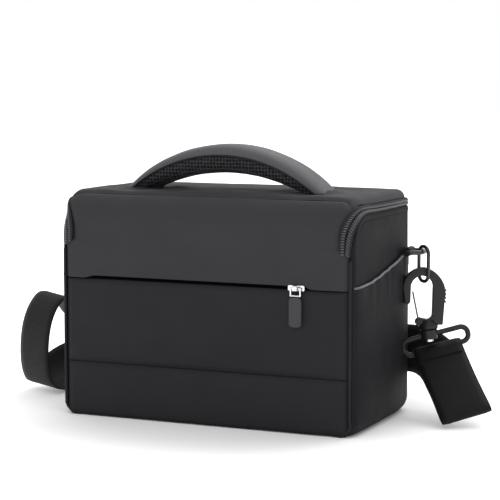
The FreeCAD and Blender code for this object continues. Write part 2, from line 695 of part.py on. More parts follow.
def webbing_stations():
    """Points and width directions along the smooth line that touches each run at its middle."""
    stations = []
    places = [Vector(*place) for place, _ in ROUTE]
    widths = [Vector(*width).normalize() for _, width in ROUTE]
    last = len(ROUTE) - 1
    for number in range(1, last):
        start = places[0] if number == 1 else (places[number - 1] + places[number]) * 0.5
        end = places[last] if number == last - 1 else (places[number] + places[number + 1]) * 0.5
        width_start = widths[0] if number == 1 else (widths[number - 1] + widths[number]) * 0.5
        width_end = widths[last] if number == last - 1 else (widths[number] + widths[number + 1]) * 0.5
        for step in range(4):
            s = step / 4
            spot = start * (1 - s) ** 2 + places[number] * (2 * s * (1 - s)) + end * s ** 2
            tangent = (places[number] - start) * (1 - s) + (end - places[number]) * s
            width = width_start * (1 - s) ** 2 + widths[number] * (2 * s * (1 - s)) + width_end * s ** 2
            stations.append((spot, tangent.normalize(), width.normalize()))
    tangent = (places[last] - places[last - 1]).normalize()
    stations.append((places[last], tangent, widths[last]))
    return stations


def webbing_section(station):
    spot, tangent, width = station
    width = (width - tangent * width.dot(tangent)).normalize()
    normal = tangent.cross(width)
    corners = [spot + width * (a * web / 2) + normal * (b * thick / 2) for a, b in ((-1, -1), (1, -1), (1, 1), (-1, 1))]
    return Part.makePolygon(corners + corners[:1])


stations = webbing_stations()
strap_length = sum((b[0] - a[0]).Length for a, b in zip(stations, stations[1:]))
strap_splits = {"right_strap_webbing": (0, 24), "back_strap_webbing": (24, 52),
                "left_strap_webbing": (52, len(stations) - 1)}
for label, (start, end) in strap_splits.items():
    loft = Part.makeLoft([webbing_section(s) for s in stations[start:end + 1]], True, True)
    keep(feature(f"{label}_loft", loft), label)
    run = sum((b[0] - a[0]).Length for a, b in zip(stations[start:end], stations[start + 1:end + 1]))
    print(f"{label}: run {run:.0f} mm, volume over width x thickness x run "
          f"{loft.Volume / (run * web * thick):.3f}")
print(f"strap between its loops: {strap_length:.0f} mm")


def webbing_fold(bar, width, front, down):
    """The sewn end: over the loop's bar and back down behind the strap."""
    inner, outer_r = fold_reach - thick / 2, fold_reach + thick / 2
    edge = bar - width * (web / 2)
    tail = 15

    def at(across, along):
        return edge + front * across + down * along
    edges = [Part.Arc(at(outer_r, 0), at(0, -outer_r), at(-outer_r, 0)).toShape(),
             Part.LineSegment(at(-outer_r, 0), at(-outer_r, tail)).toShape(),
             Part.LineSegment(at(-outer_r, tail), at(-inner, tail)).toShape(),
             Part.LineSegment(at(-inner, tail), at(-inner, 0)).toShape(),
             Part.Arc(at(-inner, 0), at(0, -inner), at(inner, 0)).toShape(),
             Part.LineSegment(at(inner, 0), at(outer_r, 0)).toShape()]
    return Part.Face(Part.Wire(edges)).extrude(width * web)


down_right = (Vector(*ROUTE[1][0]) - Vector(*ROUTE[0][0])).normalize()
down_right = (down_right - LOOP_ALONG * down_right.dot(LOOP_ALONG)).normalize()
front_right = LOOP_ALONG.cross(down_right)
if front_right.dot(Vector(*ROUTE[0][0]) - BAR) < 0:
    front_right = front_right * -1
right_fold = webbing_fold(BAR, LOOP_ALONG, front_right, down_right)
down_left = (Vector(*ROUTE[-2][0]) - Vector(*ROUTE[-1][0])).normalize()
down_left = (down_left - LEFT_ALONG * down_left.dot(LEFT_ALONG)).normalize()
front_left = LEFT_ALONG.cross(down_left)
left_fold = webbing_fold(LEFT_BAR, LEFT_ALONG, front_left, down_left)
keep(feature("strap_ends_shape", Part.Compound([right_fold, left_fold])), "strap_ends")


def strap_slider():
    """A moulded keeper with a slot for the webbing, on the straight run behind the bag."""
    middle = Vector(5, 80.3, 23.5)
    outer_block = Part.makeBox(24, 7.6, web + 8, middle - Vector(12, 3.8, (web + 8) / 2))
    slot = Part.makeBox(30, 4.4, web + 3.4, middle - Vector(15, 2.2, (web + 3.4) / 2))
    return outer_block.makeFillet(2, [e for e in outer_block.Edges]).cut(slot)


keep(feature("strap_slider_shape", strap_slider()), "strap_slider")

# ---------------------------------------------------------------- write the sub-parts

def write_parts():
    doc.recompute()
    for item in doc.Objects:
        if "Invalid" in item.State or "Error" in item.State:
            raise RuntimeError(f"{item.Name} failed: {item.State}")
    os.makedirs("parts", exist_ok=True)
    for item in SUB_PARTS:
        shape = item.Shape
        if shape.isNull() or not shape.isValid() or not shape.Solids:
            raise RuntimeError(f"{item.Label} has no valid solid")
        shape.exportStep(f"parts/{item.Label}.step")
        print(f"{item.Label}: {shape.Volume / 1000:.2f} cm3, {len(shape.Solids)} solid(s)")


write_parts()
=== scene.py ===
"""The padded camera bag's looks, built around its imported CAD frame. Metres, the frame's own axes."""
import math

import bmesh
import bpy
from mathutils import Matrix, Vector, noise


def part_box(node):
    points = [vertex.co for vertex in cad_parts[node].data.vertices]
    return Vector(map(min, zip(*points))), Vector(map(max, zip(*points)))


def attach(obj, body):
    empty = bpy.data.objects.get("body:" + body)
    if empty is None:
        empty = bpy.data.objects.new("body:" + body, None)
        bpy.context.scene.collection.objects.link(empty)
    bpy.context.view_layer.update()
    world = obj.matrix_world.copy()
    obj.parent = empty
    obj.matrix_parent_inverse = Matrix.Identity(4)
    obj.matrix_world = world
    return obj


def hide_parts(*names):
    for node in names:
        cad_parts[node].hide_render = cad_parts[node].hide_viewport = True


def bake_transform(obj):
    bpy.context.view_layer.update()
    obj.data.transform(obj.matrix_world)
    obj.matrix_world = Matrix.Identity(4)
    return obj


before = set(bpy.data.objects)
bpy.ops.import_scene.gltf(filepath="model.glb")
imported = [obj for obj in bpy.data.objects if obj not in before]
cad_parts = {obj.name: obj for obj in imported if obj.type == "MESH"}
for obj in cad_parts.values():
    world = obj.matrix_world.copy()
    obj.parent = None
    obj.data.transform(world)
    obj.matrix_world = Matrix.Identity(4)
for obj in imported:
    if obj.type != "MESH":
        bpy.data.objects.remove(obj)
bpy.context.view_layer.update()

MM = 0.001


def mm(*values):
    return Vector([v * MM for v in values])


def box_of(node):
    """The two corners of a CAD node's box."""
    return [Vector(corner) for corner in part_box(node)]


# ---- the bag's driving sizes, from the frame

HALF_W = box_of("right_side_panel")[1].x
HALF_D = -box_of("front_pocket_panel")[0].y
TOP = box_of("lid_top_panel")[1].z
BAND_Z = (box_of("front_lower_band")[1].z + box_of("front_pocket_panel")[0].z) / 2
TAPES = box_of("pocket_zip_tapes")
POCKET_ZIP_Z = (TAPES[0].z + TAPES[1].z) / 2
LID_SEAM_Y = box_of("lid_front_panel")[1].y
HANDLE, MESH = box_of("handle_cover"), box_of("handle_air_mesh")
SHOULDER, REAR = 24 * MM, 12 * MM      # the profile's radii at the top's front and rear
CORNER, BOTTOM = 7 * MM, 12 * MM       # the radii of the upright corners and of the lower edges
CLOTH, LINER = 1.4 * MM, 0.9 * MM      # the thickness of the outer cloth and of the lining
FOOT = 1.6 * MM                        # the front and back cloths end this far above the floor


# ---- material building

WAVE = math.pi / 10       # a wave texture of scale 1 repeats every pi/10 units


def nodes_of(name, color, rough=0.6, metallic=0.0, sheen=0.0, specular=0.5, coat=0.0):
    """A new node material, a function that adds a node and one that links a source to the shader."""
    material = bpy.data.materials.new(name)
    material.use_nodes = True
    tree = material.node_tree
    shader = tree.nodes["Principled BSDF"]
    settings = {"Base Color": (*color, 1), "Roughness": rough, "Metallic": metallic, "Sheen Weight": sheen,
                "Sheen Roughness": 0.4, "Specular IOR Level": specular, "Coat Weight": coat}
    for socket, value in settings.items():
        shader.inputs[socket].default_value = value

    def add(kind, links=(), **values):
        node = tree.nodes.new(kind)
        for key, value in values.items():
            if hasattr(node, key):
                setattr(node, key, value)
            else:
                node.inputs[key.replace("_", " ")].default_value = value
        for socket, source in links:
            tree.links.new(source, node.inputs[socket])
        return node

    def link(source, target):
        tree.links.new(source, shader.inputs[target])

    return material, add, link


def color_mix(add, factor, dark, light, stops=(0, 1)):
    ramp = add("ShaderNodeValToRGB", [("Fac", factor)])
    for element, color, stop in zip(ramp.color_ramp.elements, (dark, light), stops):
        element.color = (*color, 1)
        element.position = stop
    return ramp.outputs["Color"]


def scaled(color, gain):
    return tuple(min(1, c * gain) for c in color)


def object_place(add):
    return add("ShaderNodeTexCoord").outputs["Object"]


def cloud(add, place, scale, detail, **values):
    return add("ShaderNodeTexNoise", [("Vector", place)], Scale=scale, Detail=detail, **values).outputs["Fac"]


def threads(add, place, direction, scale, distortion=0.6):
    return add("ShaderNodeTexWave", [("Vector", place)], wave_type="BANDS", bands_direction=direction,
               Scale=scale, Distortion=distortion, Detail=1.0).outputs["Fac"]


def crossed(add, operation, first, second):
    return add("ShaderNodeMath", [(0, first), (1, second)], operation=operation).outputs[0]


def bump(add, height, strength, distance, *under):
    links = [("Height", height)] + [("Normal", normal) for normal in under]
    return add("ShaderNodeBump", links, Strength=strength, Distance=distance).outputs["Normal"]


def vary_roughness(add, link, source, low, high):
    varied = add("ShaderNodeMapRange", [("Value", source)], To_Min=low, To_Max=high)
    link(varied.outputs["Result"], "Roughness")


def thread_color(add, link, color, cloudy, weave, dark, light, between):
    """Cloudy colour on the threads and a darker one between them: painted shade in the gaps of the weave."""
    tint = color_mix(add, cloudy, scaled(color, dark), scaled(color, light))
    gap_shaded = add("ShaderNodeMix", [("Factor", weave), (7, tint)], data_type="RGBA")
    gap_shaded.inputs[6].default_value = (*scaled(color, between), 1)
    link(gap_shaded.outputs[2], "Base Color")


def woven(name, color, rough=0.7, pitch=0.9, depth=0.5, sheen=0.03, wrinkle=0.3, specular=0.22):
    """Plain-weave cloth: crossed sets of threads, soft cloudy colour and slight creases."""
    material, add, link = nodes_of(name, color, rough, sheen=sheen, specular=specular)
    place = object_place(add)
    warp, weft, depth_wise = [threads(add, place, axis, WAVE / (pitch * MM)) for axis in ("X", "Z", "Y")]
    cross = crossed(add, "MULTIPLY", warp, weft)
    # painted shade: 0.72 of the colour between the threads
    thread_color(add, link, color, cloud(add, place, 22, 3, Roughness=0.55), cross, 0.82, 1.18, 0.72)
    creases = bump(add, cloud(add, place, 60, 4, Roughness=0.6), wrinkle, 0.0012)
    link(bump(add, crossed(add, "MAXIMUM", cross, depth_wise), depth, 0.00018, creases), "Normal")
    vary_roughness(add, link, cloud(add, place, 35, 2), rough - 0.08, rough + 0.08)
    return material


def ribbed(name, color, pitch=1.5, rough=0.55, depth=0.7):
    """Webbing: ribs across the width and finer slanted picks, from the strip's own UVs in millimetres."""
    material, add, link = nodes_of(name, color, rough, sheen=0.02, specular=0.14)
    uv = add("ShaderNodeUVMap").outputs["UV"]
    ribs = threads(add, uv, "X", WAVE / pitch, 0.4)
    weave = crossed(add, "MULTIPLY", ribs, threads(add, uv, "DIAGONAL", WAVE / 1.1))
    # painted shade: 0.6 of the colour between the ribs and picks
    thread_color(add, link, color, cloud(add, uv, 0.12, 3), weave, 0.8, 1.2, 0.6)
    link(bump(add, weave, depth, 0.0003), "Normal")
    return material


def mesh_cloth(name, color, pitch=2.0):
    """Spacer mesh: round holes in a hexagonal net, bumped deeper than the threads and darker as painted shade
    in the holes.
    """
    material, add, link = nodes_of(name, color, 0.85, sheen=0.03, specular=0.15)
    cells = add("ShaderNodeTexVoronoi", [("Vector", object_place(add))], Scale=1 / (pitch * MM),
                Randomness=0.15).outputs["Distance"]
    # painted shade: the holes take 0.15 of the colour and the threads 2.4 of it
    link(color_mix(add, cells, scaled(color, 0.15), scaled(color, 2.4), (0.36, 0.5)), "Base Color")
    link(bump(add, cells, 0.9, 0.0008), "Normal")
    return material


def moulded(name, color, rough=0.35, specular=0.5, coat=0.0, grain=0.15):
    """Injection-moulded plastic or lacquered metal with a faint grain and rubbed spots."""
    material, add, link = nodes_of(name, color, rough, specular=specular, coat=coat)
    place = object_place(add)
    rubbed = cloud(add, place, 90, 4)
    link(color_mix(add, rubbed, scaled(color, 0.85), scaled(color, 1.2)), "Base Color")
    vary_roughness(add, link, rubbed, rough - 0.08, rough + 0.1)
    link(bump(add, cloud(add, place, 1800, 2), grain, 0.0001), "Normal")
    return material


def metal(name, color, rough=0.22):
    """Plated metal with fine hairline scratches."""
    material, add, link = nodes_of(name, color, rough, metallic=1.0)
    stretched = add("ShaderNodeMapping", [("Vector", object_place(add))])
    stretched.inputs["Scale"].default_value = (300, 300, 3000)
    hair = cloud(add, stretched.outputs["Vector"], 1, 3)
    link(color_mix(add, hair, scaled(color, 0.85), scaled(color, 1.1)), "Base Color")
    vary_roughness(add, link, hair, rough - 0.07, rough + 0.12)
    link(bump(add, hair, 0.08, 0.0001), "Normal")
    return material


SHELL = (0.0300, 0.0296, 0.0345)
# painted shade: the shell nylon again, darker, for the lower front, pocket panel, back and base, standing in
# for the shade on them
SHADOWED_SHELL_COLOR = (0.0128, 0.0125, 0.0155)
M_SHELL = woven("shell_nylon", SHELL)
M_SHELL_PAINTED_SHADE = woven("shell_nylon_painted_shade", SHADOWED_SHELL_COLOR, wrinkle=0.2)
# painted shade: the shell nylon made much darker for the sides and the mouth binding, standing in for the
# shade on the sides
M_SIDE_PAINTED_SHADE = woven("side_nylon_painted_shade", (0.0085, 0.0083, 0.0103), wrinkle=0.35, specular=0.1, sheen=0.01)
M_STRETCH = woven("stretch_cloth", (0.0080, 0.0077, 0.0097), pitch=0.7, wrinkle=0.35, specular=0.12,
                  sheen=0.01)
M_HANDLE = woven("handle_nylon", (0.075, 0.074, 0.083), rough=0.5, sheen=0.08)
M_TAPE = woven("zip_tape_cloth", (0.016, 0.016, 0.018), pitch=0.9, depth=0.6, wrinkle=0.05)
M_PIPE = woven("piping_cloth", (0.0105, 0.0105, 0.0125), wrinkle=0.05)
M_LINING = woven("loop_lining", (0.075, 0.075, 0.082), rough=0.9, pitch=0.9, depth=0.8, sheen=0.6, wrinkle=0.4)
M_DIVIDER = woven("divider_loop_cloth", (0.085, 0.085, 0.092), rough=0.92, pitch=0.9, depth=0.8, sheen=0.6)
M_AIR = mesh_cloth("air_mesh", (0.012, 0.012, 0.0135), pitch=2.7)
M_NET = mesh_cloth("lid_net", (0.018, 0.018, 0.02), pitch=1.6)
M_WEB = ribbed("strap_webbing", (0.0070, 0.0070, 0.0078))
M_EDGE = woven("elastic_binding", (0.11, 0.11, 0.125), rough=0.4, pitch=0.6, depth=0.4, sheen=0.2,
               wrinkle=0.05)
M_PLASTIC = moulded("acetal", (0.0085, 0.0088, 0.0105), rough=0.4, specular=0.3)
M_BLACK = moulded("black_coat", (0.012, 0.012, 0.014), rough=0.3, specular=0.45, coat=0.1, grain=0.05)
M_COIL = moulded("nylon_coil", (0.055, 0.055, 0.06), rough=0.32, specular=0.7)
M_CHROME = metal("bright_plate", (0.72, 0.72, 0.74))
M_PULL = woven("pull_cloth", (0.048, 0.048, 0.054), rough=0.55, pitch=0.6, wrinkle=0.1)
M_THREAD = moulded("stitch_thread", (0.006, 0.006, 0.007), rough=0.8, specular=0.1)
M_GUNMETAL = metal("dark_plate", (0.16, 0.16, 0.17), rough=0.3)
# painted shade: near-black cloth for the pocket zip's tapes and coil, standing in for the shade under the flap
# above them
M_SLOT = woven("pocket_zip_shade", (0.0022, 0.0022, 0.0026), rough=0.95, specular=0.02, sheen=0.0,
               wrinkle=0.05)
M_STEEL = metal("steel_wire", (0.13, 0.13, 0.135), rough=0.35)
M_FLATWEB = woven("tab_webbing", (0.013, 0.013, 0.015), pitch=1.2, depth=0.8, wrinkle=0.1)


# ---- mesh building

def placed(name, data):
    """A new object for some data, in the scene."""
    item = bpy.data.objects.new(name, data)
    bpy.context.scene.collection.objects.link(item)
    return item


def mesh_object(name, verts, faces, material, uvs=None):
    data = bpy.data.meshes.new(name)
    data.from_pydata([tuple(v) for v in verts], [], faces)
    data.update()
    piece = placed(name, data)
    data.materials.append(material)
    data.shade_smooth()
    if uvs is not None:
        layer = data.uv_layers.new(name="UVMap")
        for loop in data.loops:
            layer.data[loop.index].uv = uvs[loop.vertex_index]
    return piece


def built(name, build, material):
    """A piece from a bmesh, which is freed."""
    data = bpy.data.meshes.new(name)
    build.to_mesh(data)
    build.free()
    data.materials.append(material)
    data.shade_smooth()
    return placed(name, data)


def grid_faces(rows, columns, ring=False, loop=False):
    """Quads over rows of points: a ring closes and caps the rows, a loop joins the last row to the first."""
    faces = []
    for row in range(rows if loop else rows - 1):
        here, after = row * columns, (row + 1) % rows * columns
        for step in range(columns if ring else columns - 1):
            beside = (step + 1) % columns
            faces.append((here + step, here + beside, after + beside, after + step))
    if ring:
        faces.append(tuple(reversed(range(columns))))
        faces.append(tuple(range((rows - 1) * columns, rows * columns)))
    return faces


def apply_modifiers(piece):
    bpy.context.view_layer.update()
    deps = bpy.context.evaluated_depsgraph_get()
    data = bpy.data.meshes.new_from_object(piece.evaluated_get(deps))
    old = piece.data
    piece.modifiers.clear()
    piece.data = data
    bpy.data.meshes.remove(old)
    piece.data.shade_smooth()
    return piece


def modifier(piece, kind, **values):
    item = piece.modifiers.new(kind.lower(), kind)
    for key, value in values.items():
        setattr(item, key, value)
    return item


def thickened(piece, thick, offset=0.0):
    modifier(piece, "SOLIDIFY", thickness=thick, offset=offset)
    return apply_modifiers(piece)


def finish_piece(piece, body, replaces=()):
    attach(piece, body)
    if replaces:
        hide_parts(*replaces)
    return piece


def patch(name, point, columns, rows, thick, material):
    """A cloth panel: a grid of points from point(u, v), thickened inwards; u and v run from 0 to 1."""
    verts = [point(column / columns, row / rows) for row in range(rows + 1) for column in range(columns + 1)]
    return thickened(mesh_object(name, verts, grid_faces(rows + 1, columns + 1), material), thick, -1.0)


def tube(name, points, radius, material, sides=10):
    """A round cord through points, its ends capped."""
    verts = []
    side = None
    for number, spot in enumerate(points):
        before, after = points[max(0, number - 1)], points[min(len(points) - 1, number + 1)]
        tangent = (after - before).normalized()
        guess = side or (Vector((0, 0, 1)) if abs(tangent.z) < 0.9 else Vector((1, 0, 0)))
        side = (guess - tangent * guess.dot(tangent)).normalized()
        other = tangent.cross(side)
        for step in range(sides):
            angle = 2 * math.pi * step / sides
            verts.append(spot + side * (math.cos(angle) * radius) + other * (math.sin(angle) * radius))
    return mesh_object(name, verts, grid_faces(len(points), sides, ring=True), material)


def joined(name, pieces):
    """Several meshes made one piece, keeping their materials."""
    data = bpy.data.meshes.new(name)
    build = bmesh.new()
    for piece in pieces:
        slot_of = []
        for material in piece.data.materials:
            if material.name not in [m.name for m in data.materials]:
                data.materials.append(material)
            slot_of.append([m.name for m in data.materials].index(material.name))
        start = len(build.faces)
        build.from_mesh(piece.data)
        build.faces.ensure_lookup_table()
        for face in build.faces[start:]:
            face.material_index = slot_of[face.material_index] if slot_of else 0
    build.to_mesh(data)
    build.free()
    whole = placed(name, data)
    for piece in pieces:
        old = piece.data
        bpy.data.objects.remove(piece)
        bpy.data.meshes.remove(old)
    data.shade_smooth()
    return whole


def smoothstep(low, high, value):
    s = min(1.0, max(0.0, (value - low) / (high - low)))
    return s * s * (3 - 2 * s)


def crease(spot, scale=14.0, seed=0.0):
    """A gentle hand-like unevenness of cloth, between about -1 and 1."""
    place = Vector(spot) * scale + Vector((seed, seed * 1.7, seed * 0.3))
    return noise.noise(place) + 0.5 * noise.noise(place * 2.3) + 0.25 * noise.noise(place * 5.1)


def crowned(u, v, across, along):
    """1 in a panel's middle and 0 at its edges; higher powers make a flatter middle."""
    return (1 - abs(2 * u - 1) ** across) * (1 - abs(2 * v - 1) ** along)


def fall(radius, along):
    """How far a quarter circle has left its tangent, at a distance along that tangent."""
    return radius - math.sqrt(max(0.0, radius ** 2 - min(along, radius) ** 2))


# ---- the bag's outer form

def run_at_top(y):
    """How far along the side profile a depth on the bag's top lies."""
    return (TOP - SHOULDER) + SHOULDER * math.pi / 2 + (y + HALF_D - SHOULDER)


PROFILE_LENGTH = run_at_top(HALF_D - REAR) + REAR * math.pi / 2 + (TOP - REAR)


def side_profile(s):
    """The outline seen from the side, from the front's foot, over the top and down the back; s from 0 to 1."""
    runs = [
        ("line", Vector((-HALF_D, 0)), Vector((-HALF_D, TOP - SHOULDER))),
        ("arc", Vector((-HALF_D + SHOULDER, TOP - SHOULDER)), SHOULDER, math.pi),
        ("line", Vector((-HALF_D + SHOULDER, TOP)), Vector((HALF_D - REAR, TOP))),
        ("arc", Vector((HALF_D - REAR, TOP - REAR)), REAR, math.pi / 2),
        ("line", Vector((HALF_D, TOP - REAR)), Vector((HALF_D, 0))),
    ]
    lengths = [(r[2] - r[1]).length if r[0] == "line" else r[2] * math.pi / 2 for r in runs]
    left = s * sum(lengths)
    for run, length in zip(runs, lengths):
        if left <= length + 1e-9 or run is runs[-1]:
            part = min(1, left / length)
            if run[0] == "line":
                spot = run[1].lerp(run[2], part)
                along = (run[2] - run[1]).normalized()
                out = Vector((-along.y, along.x))
            else:
                angle = run[3] - part * math.pi / 2
                out = Vector((math.cos(angle), math.sin(angle)))
                spot = run[1] + out * run[2]
            return spot, out
        left -= length
    return None


# ---- camera, lights and floor

def camera_and_lights():
    data = bpy.data.cameras.new("view")
    camera = placed("view", data)
    camera.location = mm(552.9, -1229.0, 269.8)
    aim = mm(8.04, 7.80, 127.7)
    camera.rotation_euler = (aim - camera.location).to_track_quat("-Z", "Y").to_euler()
    data.sensor_width = 36
    data.lens = 124.25
    data.clip_end = 20
    bpy.context.scene.camera = camera

    paper, add, link = nodes_of("paper_floor", (0.88, 0.88, 0.88), 0.9, specular=0.1)
    place = add("ShaderNodeTexCoord").outputs["Object"]
    away = add("ShaderNodeVectorMath", [("Vector", place)], operation="LENGTH").outputs["Value"]
    grain = add("ShaderNodeTexNoise", [("Vector", place)], Scale=400, Detail=2)
    tint = color_mix(add, grain.outputs["Fac"], (0.87, 0.87, 0.87), (0.90, 0.90, 0.90))
    link(tint, "Base Color")
    # painted light: the sweep of paper glows white by its own emission away from the bag, as if burnt out
    paper_glow = add("ShaderNodeMapRange", [("Value", away)], interpolation_type="SMOOTHSTEP", From_Min=0.1,
               From_Max=0.28, To_Max=0.6)
    link(paper_glow.outputs["Result"], "Emission Strength")
    paper.node_tree.nodes["Principled BSDF"].inputs["Emission Color"].default_value = (1, 1, 1, 1)
    floor = mesh_object("floor", [(-8, -8, 0), (8, -8, 0), (8, 8, 0), (-8, 8, 0)], [(0, 1, 2, 3)], paper)

    def area(name, spot, aim_at, wide, power):
        lamp = bpy.data.lights.new(name, "AREA")
        lamp.shape = "RECTANGLE"
        lamp.size, lamp.size_y = wide
        lamp.energy = power
        lamp_object = placed(name, lamp)
        lamp_object.location = spot
        direction = Vector(aim_at) - Vector(spot)
        lamp_object.rotation_euler = direction.to_track_quat("-Z", "Y").to_euler()

    area("key", (0.3, -1.5, 1.9), (0, 0, 0.1), (1.8, 1.2), 7)
    area("top", (0.3, 0.95, 1.6), (0, 0, 0.1), (1.4, 1.0), 10)
    area("fill", (1.8, -0.9, 0.9), (0, 0, 0.1), (1.2, 1.2), 0.3)
    area("rim", (0.6, 1.6, 1.1), (0, 0, 0.15), (1.2, 0.8), 2)
    world = bpy.data.worlds.new("studio")
    world.use_nodes = True
    world.node_tree.nodes["Background"].inputs["Color"].default_value = (1, 1, 1, 1)
    world.node_tree.nodes["Background"].inputs["Strength"].default_value = 1.0
    bpy.context.scene.world = world
    bpy.context.scene.view_settings.view_transform = "Standard"


camera_and_lights()

# ---- shoulder strap, first of the soft pieces

STRAP_WIDTH = 38 * MM
STRAP_THICK = 1.8 * MM
# the webbing's route: millimetres, and the direction of its width at each point
ROUTE = [
    ((149.1, 49.5, 54.8), (0.884, 0.389, 0.259)),
    ((163.0, 32.0, 38.0), (0.884, 0.389, 0.259)),
    ((178.0, 14.0, 22.0), (0.874, 0.389, 0.290)),
    ((190.0, 1.0, 9.5), (0.880, 0.374, 0.290)),
    ((183.0, 15.0, 7.6), (0.880, 0.374, 0.290)),
    ((166.0, 38.0, 27.0), (0.800, 0.380, 0.460)),
    ((142.0, 66.0, 45.0), (0.420, 0.250, 0.870)),
    ((112.0, 81.0, 48.0), (0.080, 0.060, 0.990)),
    ((72.0, 83.0, 34.0), (0.120, 0.000, 0.990)),
    ((28.0, 80.0, 24.5), (0.060, 0.000, 0.998)),
    ((-18.0, 80.5, 22.5), (0.000, 0.000, 1.000)),
    ((-64.0, 82.0, 22.0), (0.000, 0.000, 1.000)),
    ((-108.0, 90.0, 22.0), (0.000, 0.000, 1.000)),
    ((-146.0, 86.0, 20.5), (-0.100, 0.100, 0.990)),
    ((-175.0, 64.0, 20.0), (-0.200, 0.100, 0.970)),
    ((-184.0, 40.0, 14.0), (-0.600, 0.250, 0.760)),
    ((-181.0, 14.0, 1.5), (-0.925, 0.380, 0.000)),
    ((-183.5, -4.0, 18.0), (-0.925, 0.380, 0.000)),
    ((-182.0, -3.0, 62.0), (-0.925, 0.380, 0.000)),
    ((-174.5, 13.0, 86.0), (-0.910, 0.410, 0.050)),
    ((-168.0, 25.0, 74.0), (-0.900, 0.430, 0.100)),
    ((-161.5, 31.0, 59.5), (-0.884, 0.420, 0.220)),
    ((-153.4, 40.0, 56.4), (-0.884, 0.389, 0.259)),
    ((-148.2, 51.3, 55.5), (-0.884, 0.389, 0.259)),
]


def spline_line(values, steps=10):
    """The NURBS spline's own line for some control points, read from a curve with no bevel."""
    curve = bpy.data.curves.new("route", "CURVE")
    curve.dimensions = "3D"
    spline = curve.splines.new("NURBS")
    spline.points.add(len(values) - 1)
    for spot, value in zip(spline.points, values):
        spot.co = (*value, 1)
    spline.order_u = 3
    spline.use_endpoint_u = True
    spline.resolution_u = steps
    holder = placed("route", curve)
    bpy.context.view_layer.update()
    data = bpy.data.meshes.new_from_object(holder.evaluated_get(bpy.context.evaluated_depsgraph_get()))
    line = [v.co.copy() for v in data.vertices]
    bpy.data.objects.remove(holder)
    bpy.data.curves.remove(curve)
    bpy.data.meshes.remove(data)
    return line


def ribbon(name, line, widths):
    """Webbing with rounded edges along a line, its ribs placed by UVs in millimetres."""
    across = [step / 4 - 1 for step in range(9)]
    section = [(part * 0.5, 0.5 * min(1.0, 3.0 * (1 - abs(part)) + 0.35)) for part in across]
    ring = section + [(a, -b) for a, b in reversed(section)]
    verts, uvs = [], []
    run = 0.0
    for number, spot in enumerate(line):
        before, after = line[max(0, number - 1)], line[min(len(line) - 1, number + 1)]
        run += (spot - before).length
        tangent = (after - before).normalized()
        width = (widths[number] - tangent * widths[number].dot(tangent)).normalized()
        normal = tangent.cross(width)
        for a, b in ring:
            verts.append(spot + width * (a * STRAP_WIDTH) + normal * (b * STRAP_THICK))
            uvs.append((a * STRAP_WIDTH / MM, run / MM))
    return mesh_object(name, verts, grid_faces(len(line), len(ring), ring=True), M_WEB, uvs=uvs)


STRAP_LINE = spline_line([mm(*place) for place, _ in ROUTE])
strap_widths = [width.normalized() for width in spline_line([Vector(width) for _, width in ROUTE])]
STRAP = ribbon("shoulder_strap", STRAP_LINE, strap_widths)
finish_piece(STRAP, "bag", ("right_strap_webbing", "back_strap_webbing", "left_strap_webbing"))

# ---- the sewn shell, cloth by cloth

SEAM_X = HALF_W - CORNER * (1 - math.cos(math.pi / 4))      # the upright corner seams
SEAM_Y = HALF_D - CORNER * (1 - math.cos(math.pi / 4))


def corner_turn(place):
    """Bends a front or back panel's ends back round the bag's upright corners."""
    over = abs(place.x) - (HALF_W - CORNER)
    if over > 0:
        place.y -= math.copysign(fall(CORNER, over), place.y)
    return place


def bottom_turn(place):
    """Rounds a front or back panel's lower corners to meet the turned-under sides."""
    below = BOTTOM - place.z
    over = abs(place.x) - (HALF_W - BOTTOM)
    if below > 0 and over > 0:
        reach = math.hypot(below, over)
        if reach > BOTTOM:
            place.z = BOTTOM - below * BOTTOM / reach
            place.x = math.copysign(HALF_W - BOTTOM + over * BOTTOM / reach, place.x)
    return place


def front_cloth(name, z_low, z_high, bulge, seed):
    """A panel of the front between two heights, its edges rolled in to the seams."""
    low, high = z_low / PROFILE_LENGTH, z_high / PROFILE_LENGTH
    width, tall = 2 * SEAM_X, (high - low) * PROFILE_LENGTH

    def point(u, v):
        x = width * u - SEAM_X
        spot, out = side_profile(low + (high - low) * v)
        crown = crowned(u, v, 3.2, 2.6)
        edge_v = 1.4 * MM * (1 - smoothstep(0, 4 * MM, min(v, 1 - v) * tall))
        edge_u = 1.5 * MM * (1 - smoothstep(0, 6 * MM, min(u, 1 - u) * width))
        rise = bulge * crown - max(edge_v, edge_u)
        rise += 0.4 * MM * crease((x, spot.x, spot.y), 16, seed) * (0.35 + 0.65 * crown)
        place = spot + out * rise
        return bottom_turn(corner_turn(Vector((x, place.x, place.y))))
    # painted shade: the front cloths take the shell nylon's darker copy
    return patch(name, point, 160, 48, CLOTH, M_SHELL_PAINTED_SHADE)


BAND = front_cloth("lower_band", FOOT, BAND_Z - 0.1 * MM, 1.4 * MM, 3.1)
finish_piece(BAND, "bag", ("front_lower_band",))
POCKET = front_cloth("pocket_panel", BAND_Z + 0.1 * MM, TAPES[0].z + 1.4 * MM, 2.0 * MM, 7.7)
finish_piece(POCKET, "bag", ("front_pocket_panel", "front_foam"))

